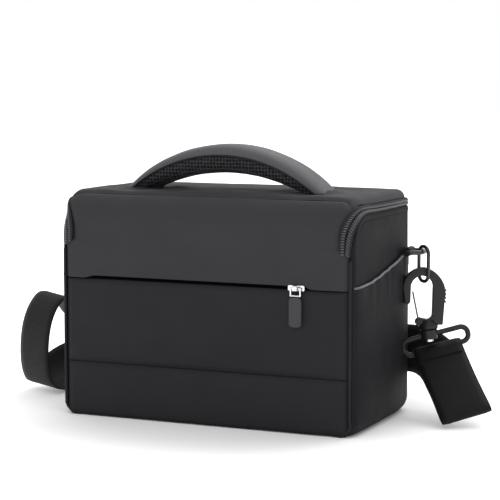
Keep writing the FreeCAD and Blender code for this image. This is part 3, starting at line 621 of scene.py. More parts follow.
# the zip band's two edges on the right, from the front corner, over the shoulder and back along the side
ZIP_OUTER = [(110.8, -64.6, 136.6), (110.2, -64.7, 145.0), (110.6, -64.4, 151.0), (112.0, -63.6, 157.2),
             (115.0, -60.6, 164.2), (117.7, -56.8, 168.4), (119.6, -50.0, 170.2), (120.2, -38.0, 170.0),
             (120.4, -20.0, 169.2), (120.4, 10.0, 169.0), (120.3, 40.0, 169.0), (119.9, 56.5, 169.0)]
ZIP_INNER = [(118.4, -63.0, 133.6), (118.9, -62.4, 141.0), (119.6, -60.6, 147.6), (120.2, -57.4, 153.2),
             (120.6, -52.6, 158.0), (120.8, -46.6, 161.4), (120.8, -39.6, 163.2), (120.7, -30.0, 163.6),
             (120.6, -18.0, 163.0), (120.5, 10.0, 163.0), (120.4, 40.0, 163.0), (119.9, 56.5, 163.0)]


def zip_edge(values, side):
    """One edge of the zip band: up from the front corner, along the side and round to the back's middle."""
    points = [mm(side * x, y, z) for x, y, z in values]
    level = points[-1].z
    turn = 6.6 * MM
    for angle in (step / 6 * math.pi / 2 for step in range(1, 6)):
        x, y = HALF_W - turn + turn * math.cos(angle), HALF_D + 0.3 * MM - turn + turn * math.sin(angle)
        points.append(Vector((side * x, y, level)))
    for x in (100, 70, 40, 20, 0):
        points.append(Vector((side * x * MM, HALF_D + 0.5 * MM, level)))
    return points


def evenly(points, count):
    """The same line as points, as count + 1 places at equal spacing."""
    lengths = [0.0]
    for a, b in zip(points, points[1:]):
        lengths.append(lengths[-1] + (b - a).length)
    places, index = [], 0
    for step in range(count + 1):
        reach = lengths[-1] * step / count
        while index < len(points) - 2 and lengths[index + 1] < reach:
            index += 1
        span = max(1e-9, lengths[index + 1] - lengths[index])
        places.append(points[index].lerp(points[index + 1], (reach - lengths[index]) / span))
    return places


def whole_edge(values):
    """An edge of the zip band right round the bag, from the right front corner to the left one."""
    right, left = [evenly(spline_line(zip_edge(values, side), 12), 260) for side in (1, -1)]
    return right + left[::-1][1:]


ZIP_O, ZIP_I = whole_edge(ZIP_OUTER), whole_edge(ZIP_INNER)


def zip_reach(z):
    """How far out the lid's front cloth reaches at a height: the outer edge of the zip band."""
    for (x_a, _, z_a), (x_b, _, z_b) in zip(ZIP_OUTER, ZIP_OUTER[1:6]):
        if z_a * MM <= z <= z_b * MM:
            return (x_a + (x_b - x_a) * (z / MM - z_a) / (z_b - z_a)) * MM
    return 117.6 * MM


# the rounded upper corners of the lid's front cloth
CUT_X, CUT_WIDE, CUT_TALL = 103 * MM, 14.6 * MM, 13 * MM
UPPER_LOW = (TAPES[1].z - 1.4 * MM) / PROFILE_LENGTH
UPPER_HIGH = run_at_top(LID_SEAM_Y) / PROFILE_LENGTH
ZIP_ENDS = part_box("pocket_zip_coil")[0][0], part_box("pocket_zip_coil")[1][0]
LID_FOOT = 136.6 * MM      # the lid's front begins at this height


def upper_point(u, v):
    """The strip over the pocket and the lid's front in one cloth, up over the shoulder to the lid's seam."""
    # past the ends of the pocket's zip the two cloths are sewn together
    across = SEAM_X * (2 * u - 1)
    sewn = smoothstep(ZIP_ENDS[1] - 3 * MM, ZIP_ENDS[1] + 3 * MM, across)
    sewn += 1 - smoothstep(ZIP_ENDS[0] - 6 * MM, ZIP_ENDS[0] + 6 * MM, across)
    low = UPPER_LOW - sewn * 2.1 * MM / PROFILE_LENGTH
    part = low + (UPPER_HIGH - low) * v
    spot, out = side_profile(part)
    z = spot.y
    if z < LID_FOOT:
        limit = SEAM_X
    elif z < LID_FOOT + 2 * MM:
        limit = SEAM_X + (110.9 * MM - SEAM_X) * smoothstep(LID_FOOT, LID_FOOT + 2 * MM, z)
    else:
        limit = zip_reach(z)
    from_top = (UPPER_HIGH - part) * PROFILE_LENGTH
    if from_top < CUT_TALL:
        limit = min(limit, CUT_X + CUT_WIDE * math.sqrt(max(0.0, 1 - (1 - from_top / CUT_TALL) ** 2)))
    x = limit * (2 * u - 1)
    width = 2 * limit
    tall = (UPPER_HIGH - UPPER_LOW) * PROFILE_LENGTH
    crown = (1 - abs(2 * u - 1) ** 3.4) * math.sin(math.pi * min(1, max(0, v))) ** 0.6
    rise = 2.8 * MM * crown
    near_top = (1 - v) * tall
    near_side = min(u, 1 - u) * width
    top_roll = 1.3 * MM * (1 - smoothstep(0, 4 * MM, near_top))
    rise -= max(top_roll, 1.1 * MM * (1 - smoothstep(0, 5 * MM, near_side)))
    # its lower edge stands off the pocket's zip as a short flap
    rise += 0.7 * MM * (1 - smoothstep(0, 6 * MM, v * tall)) * smoothstep(4 * MM, 16 * MM, near_side)
    rise += 0.55 * MM * crease((x, spot.x, spot.y), 15, 11.3) * (0.3 + 0.7 * crown)
    place = spot + out * rise
    place = Vector((x, place.x, place.y))
    return corner_turn(place) if z < 137 * MM else place


UPPER = patch("front_upper_cloth", upper_point, 180, 90, CLOTH, M_SHELL)
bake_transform(UPPER)
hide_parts("front_upper_strip", "lid_front_panel")

BACK_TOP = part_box("back_panel")[1][2] - 0.4 * MM


def back_point(u, v):
    x = SEAM_X * (1 - 2 * u)
    z = FOOT + (BACK_TOP - FOOT) * v
    crown = crowned(u, v, 3, 2.4)
    rise = 1.8 * MM * crown - 1.3 * MM * (1 - smoothstep(0, 4 * MM, min(v, 1 - v) * BACK_TOP))
    rise += 0.6 * MM * crease((x, 0.3, z), 14, 31.0) * (0.3 + 0.7 * crown)
    return bottom_turn(corner_turn(Vector((x, HALF_D + rise, z))))


# the back takes the same painted-shade copy of the shell nylon
BACK = patch("back_cloth", back_point, 150, 90, CLOTH, M_SHELL_PAINTED_SHADE)
finish_piece(BACK, "bag", ("back_panel", "back_foam"))


def side_top(y):
    """The height of a side panel's upper edge: the binding under the zip band."""
    if y < -61.5 * MM:
        return 131 * MM
    if y < -35 * MM:
        return (132 + 26.5 * math.sqrt(max(0.0, 1 - ((y / MM + 35) / 27) ** 2))) * MM
    return 158.5 * MM


def side_surface(side, y, z, lift):
    """A place lift metres outside the flat of a side, turned in at the lower edge and the upright corners."""
    x = HALF_W + lift - fall(BOTTOM, max(0.0, BOTTOM - z)) - fall(CORNER, max(0.0, abs(y) - (HALF_D - CORNER)))
    return Vector((side * x, y, z))


def side_point(side):
    def point(u, v):
        y = SEAM_Y * (2 * u - 1) * -side
        z = side_top(y) * v
        crown = (1 - abs(2 * u - 1) ** 2.6) * math.sin(math.pi * v) ** 0.7
        creases = crease((0.9 * side, y, z), 17, 41.0 + side) * (0.25 + 0.75 * crown)
        return side_surface(side, y, z, 1.5 * MM * crown + 0.6 * MM * creases)
    return point


for side, label in ((1, "right"), (-1, "left")):
    # the sides take the painted-shade copy of the nylon
    cloth = patch(f"{label}_side_cloth", side_point(side), 110, 110, CLOTH, M_SIDE_PAINTED_SHADE)
    finish_piece(cloth, "bag", (f"{label}_side_panel", f"{label}_foam"))


def base_point(u, v):
    x = (HALF_W - BOTTOM + 6 * MM) * (1 - 2 * u)
    y = (HALF_D - 1.2 * MM) * (2 * v - 1)
    return Vector((x, y, 0.9 * MM + 0.4 * MM * crease((x, y, 0), 12, 51.0)))


# the base takes the painted-shade copy of the shell nylon too
BASE = patch("base_cloth", base_point, 60, 40, 0.5 * MM, M_SHELL_PAINTED_SHADE)
finish_piece(BASE, "bag", ("base_panel", "base_board", "base_foam"))

# ---- the lid's top cloth, down to the zip all round

LID_EDGE = 7.2 * MM
FLAT_X, FLAT_Y = HALF_W - 7.5 * MM, HALF_D - 10 * MM


def front_cut(x):
    """How far the lid's front seam has come down along the shoulder at a place across the bag."""
    return CUT_TALL * fall(1, min(1.0, max(0.0, (abs(x) - CUT_X) / CUT_WIDE)))


def lid_point(u, v):
    """From the front seam back and over the side and rear edges, down to the zip band."""
    turn = LID_EDGE * math.pi / 2
    x = (FLAT_X + turn) * (2 * u - 1)
    first = UPPER_HIGH * PROFILE_LENGTH - front_cut(min(abs(x), CUT_X + CUT_WIDE * 0.995))
    flat_end = run_at_top(FLAT_Y)
    run = first + (flat_end + turn - first) * v
    near_front = (run - first) / (40 * MM)
    over_y = max(0.0, run - flat_end)
    over_x = max(0.0, abs(x) - FLAT_X) * (0.66 + 0.34 * smoothstep(0, 1, near_front))
    spot, out = side_profile(min(run, flat_end) / PROFILE_LENGTH)
    reach = max(over_x, over_y)
    drop, y_out = 0.0, 0.0
    if reach > 0:
        size = math.hypot(over_x, over_y)
        angle = reach / LID_EDGE
        drop = LID_EDGE * (1 - math.cos(angle))
        x = math.copysign(min(abs(x), FLAT_X) + LID_EDGE * math.sin(angle) * over_x / size, x)
        y_out = LID_EDGE * math.sin(angle) * over_y / size * 1.35
    y = spot.x + y_out
    crown = (1 - min(1, abs(x) / FLAT_X) ** 3) * (1 - abs(2 * v - 1) ** 2.4)
    rise = 1.4 * MM * crown + 0.75 * MM * crease((x, y, 0.5), 19, 61.0) * (0.35 + 0.65 * crown)
    for anchor in (HANDLE[0].x + 8 * MM, HANDLE[1].x - 8 * MM):
        away = math.hypot(x - anchor, (y + 11 * MM) * 0.7)
        wave = math.sin(away / (4.4 * MM) + 3 * noise.noise((x * 30, y * 30, 1)))
        rise += 1.7 * MM * math.exp(-(away / (25 * MM)) ** 2) * wave
    rise -= 1.3 * MM * (1 - smoothstep(0, 5 * MM, run - first))
    rise *= 1 - 0.6 * min(1, drop / LID_EDGE)
    place = spot + out * (rise - drop)
    return Vector((x, place.x + y_out, place.y))


LID_TOP = patch("lid_top_cloth", lid_point, 190, 110, CLOTH, M_SHELL)
finish_piece(LID_TOP, "lid", ("lid_top_panel", "lid_gusset", "lid_foam"))

# ---- the main zip and the bindings beside it

BAG_MIDDLE = Vector((0, -12 * MM, 120 * MM))
ZIP_STEPS = len(ZIP_O)


def facing_out(normal, spot):
    return -normal if normal.dot(spot - BAG_MIDDLE) < 0 else normal


def zip_tape(name, from_share, to_share, body, node):
    """A tape of the zip between two shares of the band's width, right round the bag."""
    verts, uvs = [], []
    run, last, rows = 0.0, ZIP_O[0].lerp(ZIP_I[0], 0.5), 3
    for number, (a, b) in enumerate(zip(ZIP_O, ZIP_I)):
        tangent = ZIP_O[min(ZIP_STEPS - 1, number + 1)] - ZIP_O[max(0, number - 1)]
        normal = facing_out((b - a).cross(tangent).normalized(), a)
        here = a.lerp(b, 0.5)
        run += (here - last).length
        last = here
        for row in range(rows + 1):
            share = from_share + (to_share - from_share) * row / rows
            verts.append(a.lerp(b, share) + normal * (0.9 * MM * math.sin(math.pi * share)))
            uvs.append((share * 8, run / MM))
    piece = mesh_object(name, verts, grid_faces(ZIP_STEPS, rows + 1), M_TAPE, uvs=uvs)
    finish_piece(thickened(piece, 0.8 * MM), body, (node,))


zip_tape("zip_upper_tape", 0.02, 0.47, "lid", "main_zip_upper_tape")
zip_tape("zip_lower_tape", 0.53, 1.0, "bag", "main_zip_lower_tape")


def hump(build, place, *size):
    """One turn of a zip's coil, as a small rounded hump."""
    bmesh.ops.create_icosphere(build, subdivisions=1, radius=1.0,
                               matrix=place @ Matrix.Diagonal((*(s * MM for s in size), 1)))


def coil_teeth(name, share, body, offset, slant):
    """The zip's turned coil: a close row of small humps along one tape's inner edge."""
    build = bmesh.new()
    run = 0.0
    pitch = 1.9 * MM
    next_at = offset * pitch
    spots = [a.lerp(b, share) for a, b in zip(ZIP_O, ZIP_I)]
    for p0, p1, a1, b1 in zip(spots, spots[1:], ZIP_O[1:], ZIP_I[1:]):
        step = (p1 - p0).length
        along, across = (p1 - p0).normalized(), (a1 - b1).normalized()
        while next_at < run + step:
            spot = p0.lerp(p1, (next_at - run) / step)
            normal = facing_out(along.cross(across).normalized(), spot)
            place = Matrix((along, across, normal)).transposed().to_4x4()
            place.translation = spot + normal * 1.15 * MM
            hump(build, place @ Matrix.Rotation(slant, 4, "Z"), 0.55, 2.1, 0.85)
            next_at += pitch
        run += step
    finish_piece(built(name, build, M_COIL), body)


coil_teeth("zip_upper_coil", 0.3, "lid", 0.0, 0.5)
coil_teeth("zip_lower_coil", 0.7, "bag", 0.5, -0.5)


def outside_x(y):
    """How far out the shell's side stands at a depth, round its front corner."""
    return HALF_W - fall(CORNER, max(0.0, -HALF_D + CORNER - y))


def mouth_binding():
    """The folded strip that finishes the shell's mouth, beside the zip and lying on the side panels."""
    verts = []
    rows = 6
    for number, spot in enumerate(ZIP_I):
        side = 1 if spot.x > 0 else -1
        tangent = (ZIP_I[min(ZIP_STEPS - 1, number + 1)] - ZIP_I[max(0, number - 1)]).normalized()
        on_back = smoothstep(HALF_D - 7 * MM, HALF_D - 0.5 * MM, spot.y)
        outward = Vector((side * (1 - on_back), on_back, 0)).normalized()
        inward = outward.cross(tangent).normalized()
        if inward.dot(Vector((spot.x, 0, 90 * MM)) - spot) < 0:
            inward = -inward
        from_end = min(number, ZIP_STEPS - 1 - number) / ZIP_STEPS
        wide = 4.6 * MM * (0.35 + 0.65 * smoothstep(0, 0.03, from_end))
        for row in range(rows + 1):
            share = row / rows
            place = spot + inward * (0.4 * MM + wide * share)
            lift = 0.5 * MM + 0.7 * MM * math.sin(math.pi * share)
            if on_back < 0.02:
                place.x = side * (outside_x(place.y) + lift)
            else:
                place += outward * lift
            verts.append(place)
    # the binding takes the sides' painted-shade nylon
    return thickened(mesh_object("mouth_binding", verts, grid_faces(ZIP_STEPS, rows + 1), M_SIDE_PAINTED_SHADE), 1.0 * MM)


finish_piece(mouth_binding(), "bag")

# ---- side pockets with their elastic edges


def pocket_edge(y):
    """The height of a side pocket's elastic edge: an S from low at the front to high at the rear."""
    share = (y + 56 * MM) / (112 * MM)
    return (110.5 + 16.5 * smoothstep(0.12, 1.0, share) + 1.2 * math.sin(share * math.pi * 2)) * MM


def pocket_point(side):
    def point(u, v):
        y = (SEAM_Y - 0.4 * MM) * (2 * u - 1) * -side
        z = 2 * MM + (pocket_edge(y) - 2 * MM) * v
        crown = (1 - abs(2 * u - 1) ** 2.2) * math.sin(math.pi * (0.06 + 0.86 * v)) ** 0.8
        creases = crease((1.3 * side, y, z), 15, 71.0 + side) * (0.3 + 0.7 * crown)
        lift = 3.2 * MM + 1.6 * MM * crown + 0.8 * MM * creases
        # gathers run down from the elastic edge
        near_edge = smoothstep(0.72, 1.0, v)
        lift += 0.35 * MM * near_edge * math.sin(y / (3.1 * MM) + 4 * noise.noise((y * 40, side, 0)))
        lift *= 1 - (abs(2 * u - 1)) ** 8
        return side_surface(side, y, z, max(lift, 0.8 * MM))
    return point


elastics = []
for side, label in ((1, "right"), (-1, "left")):
    make = pocket_point(side)
    cloth = patch(f"{label}_pocket_cloth", make, 130, 90, 1.1 * MM, M_STRETCH)
    finish_piece(cloth, "bag", (f"{label}_side_pocket",))
    points = [make(step / 120, 1.0) + Vector((side * 0.5 * MM, 0, 0.2 * MM)) for step in range(1, 120)]
    elastics.append(tube("elastic", points, 0.95 * MM, M_EDGE))
finish_piece(joined("side_pocket_edges", elastics), "bag", ("side_pocket_elastics",))

# ---- corner piping and side seams

cords = []
for side_x in (1, -1):
    for side_y in (1, -1):
        x, y = side_x * (SEAM_X + 0.6 * MM), side_y * (SEAM_Y + 0.6 * MM)
        points = []
        # the lower end bends in under the shell
        for angle in (math.radians(degrees) for degrees in (80, 64, 48, 32, 16)):
            out, down = 11.4 * MM * math.cos(angle), 11.0 * MM * math.sin(angle)
            points.append(Vector((side_x * (HALF_W - BOTTOM + out), y + side_y * -0.4 * MM, BOTTOM - down)))
        points += [Vector((x, y, z * MM)) for z in range(14, 133 if side_y < 0 else 161, 3)]
        points = [p + Vector((0.25 * MM * noise.noise(p * 40), 0, 0)) for p in points]
        cords.append(tube("cord", points, 1.15 * MM, M_PIPE))
finish_piece(joined("corner_cords", cords), "bag", ("corner_piping",))

# ---- the front pocket's zip

# the tapes and coil take the near-black painted-shade cloth
tapes = []
for sign in (1, -1):
    def tape_point(u, v, sign=sign):
        x = SEAM_X * (2 * u - 1) * sign
        z = POCKET_ZIP_Z + sign * (0.35 * MM + 3.0 * MM * v)
        y = -(HALF_D - 1.7 * MM + 0.5 * MM * math.sin(math.pi * v))
        return corner_turn(Vector((x, y, z)))
    tapes.append(patch("tape", tape_point, 110, 4, 0.5 * MM, M_SLOT))
finish_piece(joined("pocket_zip_cloth", tapes), "bag", ("pocket_zip_tapes",))

COIL = box_of("pocket_zip_coil")
COIL_PITCH = 1.4 * MM
coil_build = bmesh.new()
for number in range(int((COIL[1].x - COIL[0].x) / COIL_PITCH)):
    for row, sign in enumerate((1, -1)):
        x = COIL[0].x + (number + 0.5 * row + 0.3) * COIL_PITCH
        place = Matrix.Translation((x, -(HALF_D - 1.35 * MM), POCKET_ZIP_Z + sign * 0.55 * MM))
        hump(coil_build, place, 0.52, 0.55, 0.95)
finish_piece(built("pocket_coil", coil_build, M_SLOT), "bag", ("pocket_zip_coil",))

# ---- the padded carrying handle

HANDLE_Y = (HANDLE[0].y + HANDLE[1].y) / 2
HANDLE_HALF = (HANDLE[1].y - HANDLE[0].y) / 2
HANDLE_PEAK = HANDLE[1].z
HANDLE_GRIP = MESH[1].z - 2 * MM
HANDLE_LEFT, HANDLE_RIGHT = HANDLE[0].x, HANDLE[1].x


def arch_arc(left, right, crest):
    """The circle through two places on the lid's top and a crest between them: middle, radius, half angle."""
    half = (right - left) / 2
    tall = crest - TOP
    radius = (half ** 2 + tall ** 2) / (2 * tall)
    return Vector(((left + right) / 2, crest - radius)), radius, math.asin(half / radius)


def handle_frame(share):
    """The arch's middle line: a place, the way out from it and the half thickness, for share from 0 to 1."""
    upper, upper_r, upper_a = arch_arc(HANDLE_LEFT, HANDLE_RIGHT, HANDLE_PEAK)
    lower, lower_r, lower_a = arch_arc(HANDLE_LEFT + 19.5 * MM, HANDLE_RIGHT - 19.5 * MM, HANDLE_GRIP)
    a, b = upper_a * (2 * share - 1), lower_a * (2 * share - 1)
    high = upper + Vector((math.sin(a), math.cos(a))) * upper_r
    low = lower + Vector((math.sin(b), math.cos(b))) * lower_r
    return (high + low) / 2, (high - low).normalized(), (high - low).length / 2


def handle_section(angle, share):
    """A rounded box section, pinched where it is sewn to the lid; angle 0 is the near side, pi / 2 the top."""
    spot, out, half = handle_frame(share)
    end = min(share, 1 - share)
    c, s = math.cos(angle), math.sin(angle)
    power = 0.62
    wide = math.copysign(abs(c) ** power, c) * HANDLE_HALF * (0.93 + 0.07 * smoothstep(-0.02, 0.1, end))
    tall = math.copysign(abs(s) ** power, s) * half * (0.97 + 0.03 * smoothstep(0, 0.14, end))
    return spot, out, wide, tall


def handle_skin(name, from_angle, to_angle, material, swell, seed, rows):
    """A length of the handle's skin between two angles round its section, in degrees."""
    def point(u, v):
        angle = math.radians(from_angle + (to_angle - from_angle) * v)
        spot, out, wide, tall = handle_section(angle, u)
        c, s = math.cos(angle), math.sin(angle)
        puff = swell * MM * (0.4 + 0.6 * math.sin(math.pi * v))
        puff += 0.35 * MM * crease((spot.x, wide, spot.y), 26, seed)
        place = spot + out * (tall + math.copysign(puff * abs(s), s))
        return Vector((place.x, HANDLE_Y - (wide + math.copysign(puff * abs(c), c)), place.y))
    return patch(name, point, 120, rows, 1.2 * MM, material)


def stuffed(piece, pressure, limit, voxel=4 * MM, last_frame=20):
    """Remeshes a closed pad and lets its cloth swell under air pressure, as a sewn pad's stuffing does."""
    modifier(piece, "REMESH", mode="VOXEL", voxel_size=voxel)
    apply_modifiers(piece)
    start = [vertex.co.copy() for vertex in piece.data.vertices]
    settings = piece.modifiers.new("cloth", "CLOTH").settings
    settings.use_pressure = True
    settings.uniform_pressure_force = pressure
    settings.effector_weights.gravity = 0
    settings.quality = 5
    scene = bpy.context.scene
    for frame_number in range(1, last_frame + 1):
        scene.frame_set(frame_number)
    moved = bpy.data.meshes.new_from_object(piece.evaluated_get(bpy.context.evaluated_depsgraph_get()))
    piece.modifiers.clear()
    for vertex, before, after in zip(piece.data.vertices, start, moved.vertices):
        step = after.co - before
        if step.length > limit:
            step = step.normalized() * limit
        vertex.co = before + step
    bpy.data.meshes.remove(moved)
    scene.frame_set(1)
    modifier(piece, "SUBSURF", levels=1, render_levels=1)
    return apply_modifiers(piece)


SEWN_AT, SEWN_BACK = 8, 172       # degrees round the section, where the cover meets the mesh on each side
COVER = handle_skin("handle_cover_cloth", SEWN_AT, SEWN_BACK, M_HANDLE, 0.9, 81.0, 40)
finish_piece(COVER, "lid", ("handle_cover", "handle_core"))
UNDER = handle_skin("handle_mesh_cloth", SEWN_BACK, SEWN_AT + 360, M_AIR, 0.3, 82.0, 28)
finish_piece(UNDER, "lid", ("handle_air_mesh",))

seams = []
for angle in (math.radians(SEWN_AT), math.radians(SEWN_BACK)):
    points = []
    for step in range(121):
        spot, out, wide, tall = handle_section(angle, step / 120)
        place = spot + out * tall
        points.append(Vector((place.x, HANDLE_Y - wide - math.copysign(0.7 * MM, wide), place.y)))
    seams.append(tube("seam", points, 0.7 * MM, M_PIPE, sides=8))
finish_piece(joined("handle_seams", seams), "lid")

# ---- strap hardware

HANG_X, HANG_Y = 138.5, 47.0
ACROSS = Vector((0.915, 0.403, 0)).normalized()
THROUGH = Vector((-0.403, 0.915, 0)).normalized()


def hook_place(u, z, w=0.0):
    return mm(HANG_X, HANG_Y, 0) + ACROSS * (u * MM) + THROUGH * (w * MM) + Vector((0, 0, z * MM))


def mirror_piece(piece, name):
    """The left side's copy of a right-side mesh."""
    data = piece.data.copy()
    data.name = name
    for vertex in data.vertices:
        vertex.co.x = -vertex.co.x
    data.flip_normals()
    return placed(name, data)


def arc_points(a, b, c, steps=12):
    """Places on the circle from a through b to c, as (u, z) pairs."""
    ax, ay, bx, by, cx, cy = *a, *b, *c
    d = 2 * (ax * (by - cy) + bx * (cy - ay) + cx * (ay - by))
    aa, bb, cc = ax * ax + ay * ay, bx * bx + by * by, cx * cx + cy * cy
    ux = (aa * (by - cy) + bb * (cy - ay) + cc * (ay - by)) / d
    uy = (aa * (cx - bx) + bb * (ax - cx) + cc * (bx - ax)) / d
    radius = math.hypot(ax - ux, ay - uy)
    start, middle, end = [math.atan2(p[1] - uy, p[0] - ux) for p in (a, b, c)]
    def wrapped(angle):
        return (angle - start) % (2 * math.pi)
    sweep = wrapped(end)
    if wrapped(middle) > sweep:
        sweep -= 2 * math.pi
    turns = [start + sweep * step / steps for step in range(1, steps + 1)]
    return [(ux + radius * math.cos(turn), uy + radius * math.sin(turn)) for turn in turns]


def snap_hook():
    """The moulded hook: its plate with rounded edges, a thicker back with grip ridges, and its collar."""
    outline = [(15.2, 71), (16.6, 90)]
    outline += arc_points((16.6, 90), (12.6, 108.6), (1, 116))
    outline += arc_points((1, 116), (-11.8, 111), (-16.2, 100))
    outline += [(-15, 89)]
    outline += arc_points((-15, 89), (-12.4, 87.2), (-10.2, 89.5), 5)
    outline += [(-9.8, 102)]
    outline += arc_points((-9.8, 102), (-6.6, 107.4), (-1, 109.6), 8)
    outline += arc_points((-1, 109.6), (4.6, 107), (7, 99), 8)
    outline += [(6.6, 80)]
    outline += arc_points((6.6, 80), (5.4, 76.6), (2.5, 75.4), 5)
    outline += [(-1.2, 76.2)]
    outline += arc_points((-1.2, 76.2), (-5.4, 75.6), (-6.6, 72.4), 5)
    outline += [(-5.4, 71)]
    build = bmesh.new()
    half_thick = 3.4
    low, high = [[build.verts.new(hook_place(u, z, w)) for u, z in outline] for w in (-half_thick, half_thick)]
    build.faces.new(low)
    build.faces.new(list(reversed(high)))
    for number in range(len(low)):
        a, b = number, (number + 1) % len(low)
        build.faces.new((low[b], low[a], high[a], high[b]))
    bmesh.ops.recalc_face_normals(build, faces=build.faces)
    body = built("hook_body", build, M_PLASTIC)
    modifier(body, "BEVEL", width=1.5 * MM, segments=4, limit_method="ANGLE", angle_limit=math.radians(40))
    apply_modifiers(body)
    pieces = [body]
    # four grip ridges down the outer side, below the shoulder
    for step in range(4):
        z = 88.6 - step * 3.0 + 9.6
        points = [hook_place(16.9 - 0.03 * (90 - z), z, w) for w in (-2.6, -1.3, 0, 1.3, 2.6)]
        pieces.append(tube("ridge", points, 0.75 * MM, M_PLASTIC, sides=8))
    # the collar that takes the swivel's pin
    axis_low, axis_high = hook_place(4.7, 62), hook_place(0, 128)
    axis = (axis_high - axis_low).normalized()
    foot = axis_low + axis * ((67.3 * MM - axis_low.z) / axis.z)
    rings = [(0.0, 6.2), (0.5, 7.1), (1.6, 7.5), (3.2, 7.5), (4.4, 7.0), (5.0, 6.0), (7.5, 5.4)]
    verts, sides = [], 32
    side = axis.orthogonal().normalized()
    other = axis.cross(side)
    for height, radius in rings:
        for angle in (step / sides * 2 * math.pi for step in range(sides)):
            round_axis = side * math.cos(angle) + other * math.sin(angle)
            verts.append(foot + axis * (height * MM) + round_axis * radius * MM)
    pieces.append(mesh_object("collar", verts, grid_faces(len(rings), sides, ring=True), M_PLASTIC))
    return joined("right_hook_form", pieces)


RIGHT_HOOK = snap_hook()
LEFT_HOOK = mirror_piece(RIGHT_HOOK, "left_hook_form")
finish_piece(RIGHT_HOOK, "right_hook", ("right_snap_hook",))
finish_piece(LEFT_HOOK, "left_hook", ("left_snap_hook",))


def wire_gate():
    """The hook's sprung gate: a narrow bent frame of plated wire."""
    foot, tip, half = (-3.6, 73.6), (-8.2, 96.4), 1.35
    low = [hook_place(*foot, side * half) for side in (-1, 1)]
    high = [hook_place(*tip, side * half) for side in (-1, 1)]
    rows = [(low[0], high[0]), (low[1], high[1]), (low[0], low[1]), (high[0], high[1])]
    legs = [tube("leg", [a.lerp(b, step / 8) for step in range(9)], 0.62 * MM, M_STEEL) for a, b in rows]
    return joined("right_gate_wire", legs)


RIGHT_GATE = wire_gate()
LEFT_GATE = mirror_piece(RIGHT_GATE, "left_gate_wire")
finish_piece(RIGHT_GATE, "right_gate", ("right_hook_gate",))
finish_piece(LEFT_GATE, "left_gate", ("left_hook_gate",))

# ---- sewn strap ends


def strap_end(side):
    """The webbing folded round one loop's lower bar with its tail laid back, and its stitching."""
    mirror = Vector((side, 1, 1))
    tilt = math.radians(15)
    along = (ACROSS * math.cos(tilt) + Vector((0, 0, math.sin(tilt)))).normalized()
    up = (Vector((0, 0, math.cos(tilt))) - ACROSS * math.sin(tilt)).normalized()
    bar = (hook_place(9.9, 58) - up * (5.9 * MM)) * mirror
    along = (along * mirror).normalized()
    start, after = (STRAP_LINE[0], STRAP_LINE[1]) if side > 0 else (STRAP_LINE[-1], STRAP_LINE[-2])
    away = (after - start).normalized()
    away = (away - along * away.dot(along)).normalized()
    out = along.cross(away).normalized()
    if (start - bar).dot(out) < 0:
        out = -out
    reach = (start - bar).dot(out)
    points = [bar + out * reach + away * (s * MM) for s in (14.5, 9, 4)]
    for angle in (math.pi * step / 8 for step in range(9)):
        points.append(bar + out * (reach * math.cos(angle)) - away * (reach * math.sin(angle)))
    for s in (3, 7, 11, 15.5):
        points.append(bar - out * (reach * (1 - 0.55 * smoothstep(0, 13, s))) + away * (s * MM))
    pieces = [ribbon("strap_fold", points, [along] * len(points))]
    # two stitch lines on each face, across most of the width
    for distance in (12.4, 13.6):
        for height in (reach + 1.05 * MM, -(reach * 0.5 + 1.0 * MM)):
            middle = bar + out * height + away * (distance * MM)
            points = [middle + along * (STRAP_WIDTH * (step / 24 - 0.5) * 0.92) for step in range(25)]
            pieces.append(tube("stitch", points, 0.28 * MM, M_THREAD, sides=6))
    return pieces


STRAP_ENDS = joined("strap_folds", strap_end(1) + strap_end(-1))
finish_piece(STRAP_ENDS, "bag", ("strap_ends",))


def coat(material, *nodes):
    """Gives a CAD node's whole shape one material."""
    for node in nodes:
        for slot in bpy.data.objects[node].material_slots:
            slot.material = material


coat(M_BLACK, "left_dring", "right_dring", "left_link", "right_link")
coat(M_PLASTIC, "left_strap_loop", "right_strap_loop", "strap_slider")
coat(M_CHROME, "left_swivel_pin", "right_swivel_pin", "pocket_zip_slider", "pocket_puller_ring")
coat(M_GUNMETAL, "left_main_slider", "right_main_slider", "left_puller_ring", "right_puller_ring")
coat(M_PULL, "left_pull_tab", "right_pull_tab", "pocket_pull_tab")
coat(M_FLATWEB, "dring_tabs")

# ---- inside: lining, dividers, lid lining and net

LINE_LOW, LINE_HIGH = box_of("lining")
WALL_INSET = 1.6 * MM      # the walls' faces stand this far inside the CAD lining
IN_X, IN_Y = LINE_HIGH.x - WALL_INSET, LINE_HIGH.y - WALL_INSET
FLOOR_IN = LINE_LOW.z + 1.3 * MM
WALL_TOP, FRONT_WALL_TOP = 160.5 * MM, 135 * MM


def wall_point(sign_x, sign_y, height):
    """A padded wall of the inside, soft in its middle; either sign_x or sign_y picks the wall."""
    def point(u, v):
        z = FLOOR_IN + (height - FLOOR_IN) * v
        inset = 0.8 * MM * math.sin(math.pi * u) ** 0.5 * math.sin(math.pi * min(1, v * 1.02)) ** 0.6
        if sign_x:
            y = IN_Y * (2 * u - 1) * sign_x
            return Vector((sign_x * (IN_X - inset + 0.4 * MM * crease((2, y, z), 18, 91 + sign_x)), y, z))
        x = IN_X * (1 - 2 * u) * sign_y
        return Vector((x, sign_y * (IN_Y - inset + 0.4 * MM * crease((x, 3, z), 18, 95 + sign_y)), z))
    return point


def floor_point(u, v):
    x, y = IN_X * (2 * u - 1), IN_Y * (2 * v - 1)
    creases = 0.5 + crease((x, y, 7), 20, 99)
    return Vector((x, y, FLOOR_IN + 0.3 * MM + 0.5 * MM * crowned(u, v, 4, 4) * creases))


faces_of_room = [wall_point(1, 0, WALL_TOP), wall_point(-1, 0, WALL_TOP), wall_point(0, 1, WALL_TOP),
                 wall_point(0, -1, FRONT_WALL_TOP), floor_point]
walls = [patch("wall", make, 70, 50, LINER, M_LINING) for make in faces_of_room]
